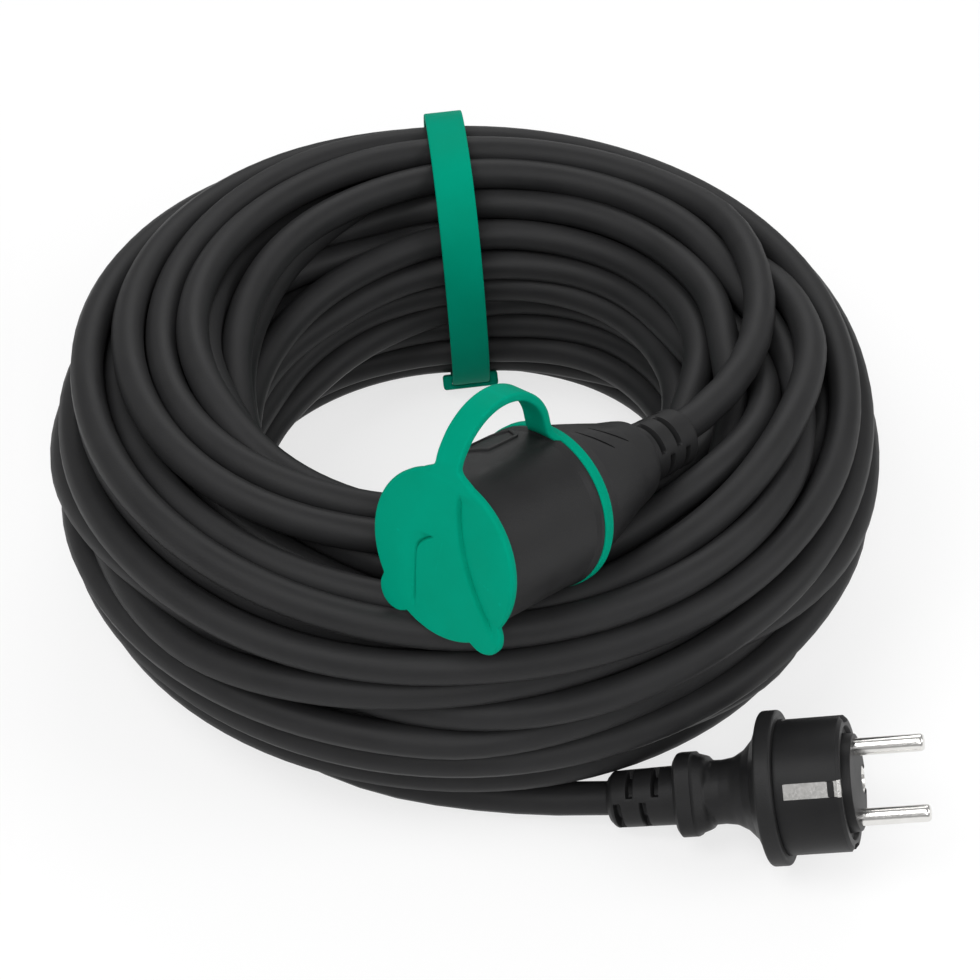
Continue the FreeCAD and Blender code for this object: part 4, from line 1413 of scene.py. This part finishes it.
@dataclass
class StrainRelief:
    """Sleeve with four rows of quarter-ring slots, every other row half a pitch on."""

    seat: Seat
    front: float
    length: float
    root_r: float
    tip_r: float
    first_row_deg: float
    pitch: float
    first_gap: float = 4.0
    spigot_l: float = 8.0
    spigot_r: float = 7.4
    bore_r: float = 4.8
    core_r: float = 5.3
    slot_w: float = 1.75
    half_row_deg: float = 38.0

    def sleeve(self, name: str) -> bpy.types.Object:
        """The sleeve with its spigot and bore.

        Args:
            name: the piece's name.

        Returns:
            The piece.
        """
        back = self.front - self.length
        end = self.front + self.spigot_l
        tip = rounded([(end, self.bore_r, 0), (end, self.spigot_r, 0),
                       (self.front, self.spigot_r, 0), (self.front, self.root_r, 0.5),
                       (back + 1.6, self.tip_r, 1.4), (back, self.tip_r - 1.7, 0.8),
                       (back, self.bore_r, 0.1)])
        outline = densified(tip, 0.22)
        starts = [[self.front - self.first_gap - self.slot_w - (k + 0.5 * odd) * self.pitch for k in (0, 1)]
                  for odd in (0, 1)]

        def slots(x: np.ndarray, r: np.ndarray, phi: np.ndarray) -> np.ndarray:
            """Sinks the slots into the sleeve's outside.

            Args:
                x: places along the axis.
                r: radii there.
                phi: angles round the axis.

            Returns:
                The radii with the relief sunk or raised.
            """
            sunk = np.zeros_like(r)
            for row in range(4):
                off = np.angle(np.exp(1j * (phi - math.radians(self.first_row_deg + 90.0 * row))))
                over = 1 - smoothstep(np.degrees(np.abs(off)), self.half_row_deg - 3, self.half_row_deg + 3)
                for x0 in starts[row % 2]:
                    sunk = np.maximum(sunk, over * band(x, x0, x0 + self.slot_w, 0.3))
            outside = (r > self.core_r) & (x < self.front - 0.3)
            return np.where(outside, r - sunk * (r - self.core_r), r)

        return self.seat.lathe(name, outline, around(128), 50, relief=slots)


@dataclass
class DustCap:
    """Green cap with two finger ears, its round tether and the ring on the cup."""

    seat: Seat = COUPLER_SEAT
    disc_r: float = 23.4
    back_x: float = 0.2
    thick: float = 2.2
    dome: float = 1.0
    edge: float = 0.85
    back_edge: float = 0.4
    ear_r: float = 5.6
    ear_at: float = 22.2
    ear_deg: float = 138.0
    arch_x: float = -15.5
    arch_z: float = 21.8
    arch_r: float = 17.3
    ear_blend: float = 0.35
    scoop: tuple[float, float, float] = (1.05, 9.0, 1.5)
    scoop_line: tuple[float, float] = (0.55, 0.34)
    scoop_bend: tuple[float, float, float] = (4.6, 0.0105, 20.0)
    scoop_ends: tuple[float, float, float, float] = (-17.5, -12.0, 17.0, 20.5)
    hollow: tuple[float, float, float] = (0.8, 6.0, 1.6)
    hollow_line: tuple[float, float] = (0.85, 0.38)
    hollow_bend: tuple[float, float, float, float] = (-8.2, 0.14, -1.5, 8.0)
    hollow_ends: tuple[float, float, float, float] = (-19.5, -12.0, 3.8, 5.4)

    def outline(self, phi: np.ndarray) -> np.ndarray:
        """Radius of the cap's edge at each angle: the disc with its two ears.

        Args:
            phi: angles in radians.

        Returns:
            The radii.
        """
        radius, soft = np.full_like(phi, self.disc_r), self.ear_blend
        for side in (-1, 1):
            off = np.angle(np.exp(1j * (phi - side * math.radians(self.ear_deg))))
            inside = np.clip(self.ear_r ** 2 - (self.ear_at * np.sin(off)) ** 2, 0, None)
            reach = self.ear_at * np.cos(off) + np.sqrt(inside)
            reach = np.where((inside > 0) & (np.cos(off) > 0), reach, 0)
            radius = soft * np.log(np.exp(radius / soft - 60) + np.exp(reach / soft - 60)) + soft * 60
        return radius

    def crease(self, off: np.ndarray, soft: float, fall: tuple[float, float, float],
               line: tuple[float, float]) -> np.ndarray:
        """Depth of a crease: a step that runs out to one side, with a fine line along it.

        Args:
            off: distance beyond the crease, in mm.
            soft: half width of the step.
            fall: the step's depth, how far it runs out, and how fast.
            line: the line's depth and half width.

        Returns:
            The depth at each point, in mm.
        """
        depth, reach, power = fall
        step = smoothstep(off, -soft, soft) * (1 - np.clip(off / reach, 0, 1)) ** power
        return depth * step + line[0] * np.exp(-(off / line[1]) ** 2)

    def face_height(self, y: np.ndarray, z: np.ndarray) -> np.ndarray:
        """Height of the front face over the rim: dome, right-hand scoop and left crease.

        Args:
            y: places across the face.
            z: places up the face.

        Returns:
            The heights.
        """
        share = np.clip((y * y + z * z) / self.disc_r ** 2, 0, 1)
        height = self.dome * (1 - share)
        (at, curl, top), ends = self.scoop_bend, self.scoop_ends
        bend = at + curl * (top - z) ** 2 * (z < top)
        along = smoothstep(z, *ends[:2]) * (1 - smoothstep(z, *ends[2:]))
        height = height - self.crease(y - np.minimum(bend, 30), 0.25, self.scoop, self.scoop_line) * along
        (at, curl, low, reach), ends = self.hollow_bend, self.hollow_ends
        crease_y = at + curl * np.clip(z - low, 0, reach) ** 2
        run = smoothstep(z, *ends[:2]) * (1 - smoothstep(z, *ends[2:]))
        return height - self.crease(crease_y - y, 0.2, self.hollow, self.hollow_line) * run

    def disc(self) -> bpy.types.Object:
        """The cap: ears, rounded rim, creased face and the hollow boss behind it.

        Returns:
            The piece.
        """
        angles = around(360)
        rim = self.outline(angles)
        front, back = self.back_x + self.thick, self.back_x
        rows = []
        for share in np.linspace(0.0, 1.0, 84) ** 0.9:
            r = share * (rim - self.edge)
            y, z = r * np.sin(angles), r * np.cos(angles)
            lift = self.face_height(y, z)
            rows.append(np.stack([front + lift, y, z], axis=-1))
        lift_rim, low = rows[-1][:, 0] - front, self.back_edge
        for turn in np.radians([22, 45, 68, 90, 125, 155, 180]):
            radius = min(self.edge, self.thick / 2)
            if turn <= math.pi / 2:
                r = rim - self.edge + self.edge * math.sin(turn)
                x = front + lift_rim * math.cos(turn) - radius + radius * math.cos(turn)
            else:
                r = rim - low + low * math.sin(turn)
                x = np.full_like(rim, back + low + low * math.cos(turn))
            rows.append(polar(x, r, angles))
        boss = ((0.0, 20.4), (0.0, 19.5), (-0.6, 19.45), (-3.6, 19.05), (-4.0, 18.7), (-4.0, 17.7),
                (-3.7, 17.4), (0.0, 17.4), (0.0, 9.0), (0.0, 0.0))
        rows.extend(polar(back + x, r, angles) for x, r in boss)
        points = np.array(rows)
        faces = grid_faces(len(rows), len(angles))
        return self.seat.solid("dust_cap_look", points, faces, 50)

    def tether_path(self) -> np.ndarray:
        """Centre line of the tether, from the ring over the arch to the cap.

        Returns:
            The line's points.
        """
        arc = [math.radians(a) for a in (166, 150, 132, 114, 96, 78, 60, 42, 26)]
        points = [(-37.0, 0.0, 21.5), (-34.9, 0.0, 22.3), (-33.2, 0.0, 24.0)]
        points += [(self.arch_x + self.arch_r * math.cos(a), 0.0, self.arch_z + self.arch_r * math.sin(a))
                   for a in arc]
        points += [(1.15, 0.0, 26.6), (1.35, 0.0, 24.4), (1.35, 0.0, 22.2), (1.35, 0.0, 19.6)]
        return through(points, 6)

    def tether(self, name: str, first: int, last: int) -> bpy.types.Object:
        """Stretch of the tether between two rows of its path.

        Args:
            name: the piece's name.
            first: first row of the path.
            last: row after the last.

        Returns:
            The piece.
        """
        path = self.tether_path()
        count = len(path)
        foot = 1 - smoothstep(np.arange(count), 0, 17)
        z = path[:, 2]
        toe = np.where(np.arange(count) > count / 2, 1 - smoothstep(z, 21.2, 27.0), 0)
        half = 3.75 + 2.6 * foot ** 2 + 5.2 * toe ** 2.2
        height = 1.2 - 0.25 * foot - 0.1 * toe
        widths = np.stack([half, height / 1.2], axis=-1)
        across = np.array([0.0, 1.0, 0.0])
        points, _ = swept(path, across, flat_section(1.2, 3.75, 0.75), widths)
        drop = points[..., 1] ** 2 / (2 * 22.5)
        points[..., 2] -= drop * foot[:, None]
        points = points[first:last]
        rows, columns = points.shape[:2]
        faces = grid_faces(rows, columns) + end_faces(rows, columns)
        return self.seat.solid(name, points, faces, 60)

    def ring(self) -> bpy.types.Object:
        """Band in the cup's groove."""
        outline = rounded([(-38.6, 20.9, 0.2), (-38.6, 22.6, 0.6), (-35.4, 22.6, 0.6), (-35.4, 20.9, 0.2)])
        return self.seat.lathe("cap_ring_look", outline, around(160), 50)

    def build(self, finishes: Finishes) -> None:
        """Makes and dresses the cap, its tether and its ring.

        Args:
            finishes: the part's finishes.
        """
        finishes.dress(self.ring(), Slot.GREEN, ROOT, "cap_ring")
        finishes.dress(self.disc(), Slot.GREEN, CAP, "cap")
        count = len(self.tether_path())
        middle = count // 2
        back = finishes.dress(self.tether("tether_back_look", 0, middle + 1), Slot.GREEN, "", "cap_tether")
        self.seat.point(-36.0, 0, 22.0)
        self.seat.point(-19.0, 0, 38.0)
        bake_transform(back)
        front = finishes.dress(self.tether("tether_front_look", middle, count), Slot.GREEN, "", "cap_tether")
        self.seat.point(1.3, 0, 27.0)
        self.seat.point(1.3, 0, 22.4)
        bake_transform(front)
        LOG.info("dust cap: ring, tether in two stretches, cap")


# ---------------------------------------------------------------- plug


@dataclass
class Plug:
    """Earthed plug: rubber moulding, hard carrier, pins and earth contacts."""

    seat: Seat = PLUG_SEAT
    flange_r: float = 21.25
    flange_t: float = 4.8
    carrier_r: float = 18.6
    carrier_l: float = 18.0
    pin_r: float = 2.4
    face_x: float = 20.1
    pin_l: float = 18.8
    pin_off: float = 9.5
    earth_off: float = 10.0
    seat_half: float = 2.05
    seat_r: float = 17.6
    seat_deg: float = 6.33
    guide_half: float = 3.2
    guide_r: float = 16.4
    guide_deg: float = 9.92
    bridge: tuple[float, float, float] = (14.2, 16.4, 18.95)
    collar: tuple[float, float] = (-29.6, -19.6)
    collar_half: tuple[float, float] = (11.6, 10.3)
    collar_power: float = 3.2

    def body(self) -> bpy.types.Object:
        """Flange, waist and grip collar.

        Returns:
            The piece.
        """
        back = -self.flange_t
        back_x, front_x = self.collar
        outline = rounded([
            (0.0, 14.65, 0), (0.0, self.flange_r, 0.9), (back, self.flange_r, 1.0), (back - 0.6, 18.8, 1.2),
            (back - 2.6, 14.3, 3), (back - 5.6, 11.1, 4), (-13.6, 9.3, 4),
            (-17.0, 8.8, 3), (-20.6, 8.9, 0.5), (back_x, 8.6, 0),
            (back_x, 7.45, 0.1), (-20.6, 7.45, 0), (-20.6, 4.8, 0), (-15.6, 4.8, 0), (-6.5, 13.0, 0),
            (-6.5, 14.65, 0)], steps=6)
        outline = densified(outline, 0.5)

        def raised(x: np.ndarray, r: np.ndarray, phi: np.ndarray) -> np.ndarray:
            """Chamfered oval collar over the back of the waist.

            Args:
                x: places along the axis.
                r: radii there.
                phi: angles round the axis.

            Returns:
                The radii with the relief sunk or raised.
            """
            (high, wide), power = self.collar_half, self.collar_power
            oval = (np.abs(np.cos(phi) / high) ** power + np.abs(np.sin(phi) / wide) ** power) ** (-1 / power)
            share = np.interp(x, [back_x, -28.7, -24.6, -24.2, -21.2, -20.0],
                              [0.88, 1.0, 1.0, 0.95, 0.87, 0.76])
            return np.where((x < front_x) & (r > 8.0), np.maximum(r, oval * share), r)

        return self.seat.lathe("plug_body_look", outline, around(128), 40, relief=raised)

    def carrier(self) -> bpy.types.Object:
        """Hard front: guide grooves, earth seats, chamfered rim and the earth pin's hole.

        Returns:
            The piece.
        """
        outline = rounded([(-6.5, 0.0, 0), (-6.5, 14.6, 0.2), (0.0, 14.6, 0), (0.0, 18.6, 0.2),
                           (self.carrier_l - 0.9, self.carrier_r, 0.3),
                           (self.carrier_l, self.carrier_r - 0.9, 0.3),
                           (self.carrier_l, 15.6, 0.2), (self.carrier_l - 1.3, 15.2, 0.2),
                           (self.carrier_l - 1.3, 13.6, 0.2),
                           (self.face_x, 13.2, 0.3), (self.face_x, 0.0, 0)], closed=False)
        outline = densified(outline, 1.1, closed=False)

        def grooves(x: np.ndarray, r: np.ndarray, phi: np.ndarray) -> np.ndarray:
            """Sinks the two guide grooves and the two earth seats.

            Args:
                x: places along the axis.
                r: radii there.
                phi: angles round the axis.

            Returns:
                The radii with the relief sunk or raised.
            """
            c, s = np.abs(np.cos(phi)), np.abs(np.sin(phi))
            guide = (r * s < self.guide_half) & (x > 2.2) & (r > self.guide_r)
            r = np.where(guide, np.minimum(r, self.guide_r / np.maximum(c, 0.2)), r)
            on_seat = (r * c < self.seat_half) & (x > 2.5) & (r > self.seat_r)
            start, end, top = self.bridge
            bridge = (x > start) & (x < end)
            r = np.where(on_seat & bridge, top, r)
            return np.where(on_seat & ~bridge, np.minimum(r, self.seat_r / np.maximum(s, 0.2)), r)

        edges = [k + d for first, w in ((0, self.guide_deg), (90, self.seat_deg))
                 for k in (first, first + 180) for d in (-w, w)]
        solid = self.seat.lathe("plug_carrier_look", outline, around(144, *edges), 35, closed=False,
                                relief=grooves)
        hole = rounded([(4.0, 0.0, 0), (4.0, 3.42, 0), (self.face_x - 1.0, 3.42, 0),
                        (self.face_x + 1.0, 5.0, 0), (self.face_x + 1.0, 0.0, 0)], closed=False)
        return carved(solid, [self.seat.lathe("earth_hole_cut", hole, around(40), closed=False,
                                              beside=(-self.earth_off, 0.0))])

    def eyelet(self) -> bpy.types.Object:
        """Bright sleeve in the mouth of the earth pin's hole.

        Returns:
            The piece.
        """
        front = self.face_x - 0.3
        outline = rounded([(front - 9.0, 2.6, 0), (front - 9.0, 3.4, 0), (front - 0.4, 3.4, 0.1),
                           (front, 3.9, 0.15),
                           (front, 3.1, 0.3), (front - 0.8, 2.6, 0.3)])
        return self.seat.lathe("plug_earth_socket_look", densified(outline, 1.0), around(48), 50,
                               beside=(-self.earth_off, 0.0))

    def pin(self, name: str, side: int) -> bpy.types.Object:
        """Round pin with a rounded tip.

        Args:
            name: the piece's name.
            side: 1 or -1, for its side of the axis.

        Returns:
            The piece.
        """
        tip = self.face_x + self.pin_l
        foot = self.face_x - 0.3
        outline = rounded([(-7.0, 0.0, 0), (-7.0, 2.1, 0), (foot, 2.1, 0), (foot, self.pin_r, 0),
                           (tip - 0.1, self.pin_r, 1.6), (tip, 0.0, 0)], closed=False, steps=8)
        return self.seat.lathe(name, densified(outline, 2.0, closed=False), around(48), closed=False,
                               beside=(0.0, side * self.pin_off))

    def build(self, finishes: Finishes) -> list[object]:
        """Makes and dresses the plug.

        Args:
            finishes: the part's finishes.

        Returns:
            The plug's pieces and its inner nodes' names, for the cable's far end.
        """
        made = [finishes.dress(self.body(), Slot.MOULDED, ROOT, "plug_body"),
                finishes.dress(self.carrier(), Slot.CARRIER, ROOT, "plug_carrier"),
                finishes.dress(self.eyelet(), Slot.NICKEL, ROOT, "plug_earth_socket"),
                finishes.dress(self.pin("pin_line_look", 1), Slot.NICKEL, ROOT, "pin_line"),
                finishes.dress(self.pin("pin_neutral_look", -1), Slot.NICKEL, ROOT, "pin_neutral")]
        relief = StrainRelief(self.seat, -28.6, 20.6, 8.2, 7.9, first_row_deg=133.0, pitch=7.4,
                              first_gap=5.4)
        made.append(finishes.dress(relief.sleeve("plug_relief_look"), Slot.MOULDED, ROOT, "plug_relief"))
        inner = ["plug_earth_bow", "plug_earth_crimp", "plug_core_line", "plug_core_neutral",
                 "plug_core_earth"]
        LOG.info("plug: %d pieces and %d inner nodes", len(made), len(inner))
        return made + inner


# ---------------------------------------------------------------- strap


@dataclass
class TieStrap:
    """Green band round the coil and the eye that its free end passes through."""

    seat: Seat = STRAP_SEAT
    half_w: float = 36.0
    half_h: float = 44.6
    width: float = 12.0
    thick: float = 2.0
    keeper_deg: float = -56.0
    squareness: float = 2.5
    keeper: tuple[float, float, float] = (18.0, 4.0, 1.4)
    keeper_gap: float = 0.08
    keeper_corners: tuple[float, float] = (1.2, 0.5)

    def loop(self, turn: np.ndarray) -> np.ndarray:
        """Points of the band's centre line, a squarish oval, at angles in radians.

        Args:
            turn: the angles.

        Returns:
            The points.
        """
        a, b = self.half_w - self.thick / 2, self.half_h - self.thick / 2
        cos, sin = np.cos(turn), np.sin(turn)
        reach = (np.abs(cos) ** self.squareness + np.abs(sin) ** self.squareness) ** (-1 / self.squareness)
        return np.stack([a * cos * reach, np.zeros_like(turn), b * sin * reach], axis=-1)

    def band(self) -> bpy.types.Object:
        """The band as one closed loop.

        Returns:
            The piece.
        """
        path = self.loop(2 * math.pi * np.arange(168) / 168)
        widths = np.tile([self.width / 2, 1.0], (len(path), 1))
        section = flat_section(self.thick / 2, self.width / 2, 0.55)
        points, faces = swept(path, np.array([0.0, 1.0, 0.0]), section, widths, closed=True)
        return self.seat.solid("tie_strap_look", points, faces, 50)

    def keeper_sleeve(self) -> bpy.types.Object:
        """Moulded eye round the band.

        Returns:
            The piece.
        """
        wide, long, wall = self.keeper
        gap, (outside, inside) = self.keeper_gap, self.keeper_corners
        outer = box_outline(wide / 2, self.thick / 2 + wall, outside, 5)
        inner = box_outline(self.width / 2 + gap, self.thick / 2 + gap, inside, 5)
        edge = 0.12
        rows = [(0, -long / 2 + 0.3), (edge, -long / 2), (1 - edge * 2, -long / 2), (1, -long / 2 + 0.7),
                (1, long / 2 - 0.7), (1 - edge * 2, long / 2), (edge, long / 2), (0, long / 2 - 0.3)]
        angle = math.radians(180 - self.keeper_deg)
        before, centre, after = self.loop(angle + np.radians([-2.0, 0.0, 2.0]))
        along = (after - before) / np.linalg.norm(after - before)
        normal = np.array([along[2], 0.0, -along[0]])
        across = np.array([0.0, 1.0, 0.0])
        points = []
        for share, run in rows:
            ring = inner + (outer - inner) * share
            points.append(centre + across * ring[:, :1] + normal * ring[:, 1:] + along * run)
        points = np.array(points)
        faces = grid_faces(len(rows), len(outer), wrap_rows=True)
        return self.seat.solid("strap_keeper_look", points, faces, 40)

    def build(self, finishes: Finishes) -> None:
        """Makes and dresses the strap.

        Args:
            finishes: the part's finishes.
        """
        finishes.dress(self.band(), Slot.GREEN, ROOT, "strap_band")
        finishes.dress(self.keeper_sleeve(), Slot.GREEN, ROOT, "strap_keeper")
        LOG.info("strap: band and keeper")


# ---------------------------------------------------------------- main


def main() -> None:
    """Builds the scene: studio, cable, strap, coupler with its cap, and plug."""
    logging.basicConfig(level=logging.INFO, format="%(message)s")
    Studio().build()
    finishes = Finishes()
    finishes.dress_nodes()
    cable = CoiledCable()
    line = cable.build(finishes)
    TieStrap().build(finishes)
    Coupler().build(finishes)
    DustCap().build(finishes)
    cable.declare(Plug().build(finishes))


if __name__ == "__main__":
    main()
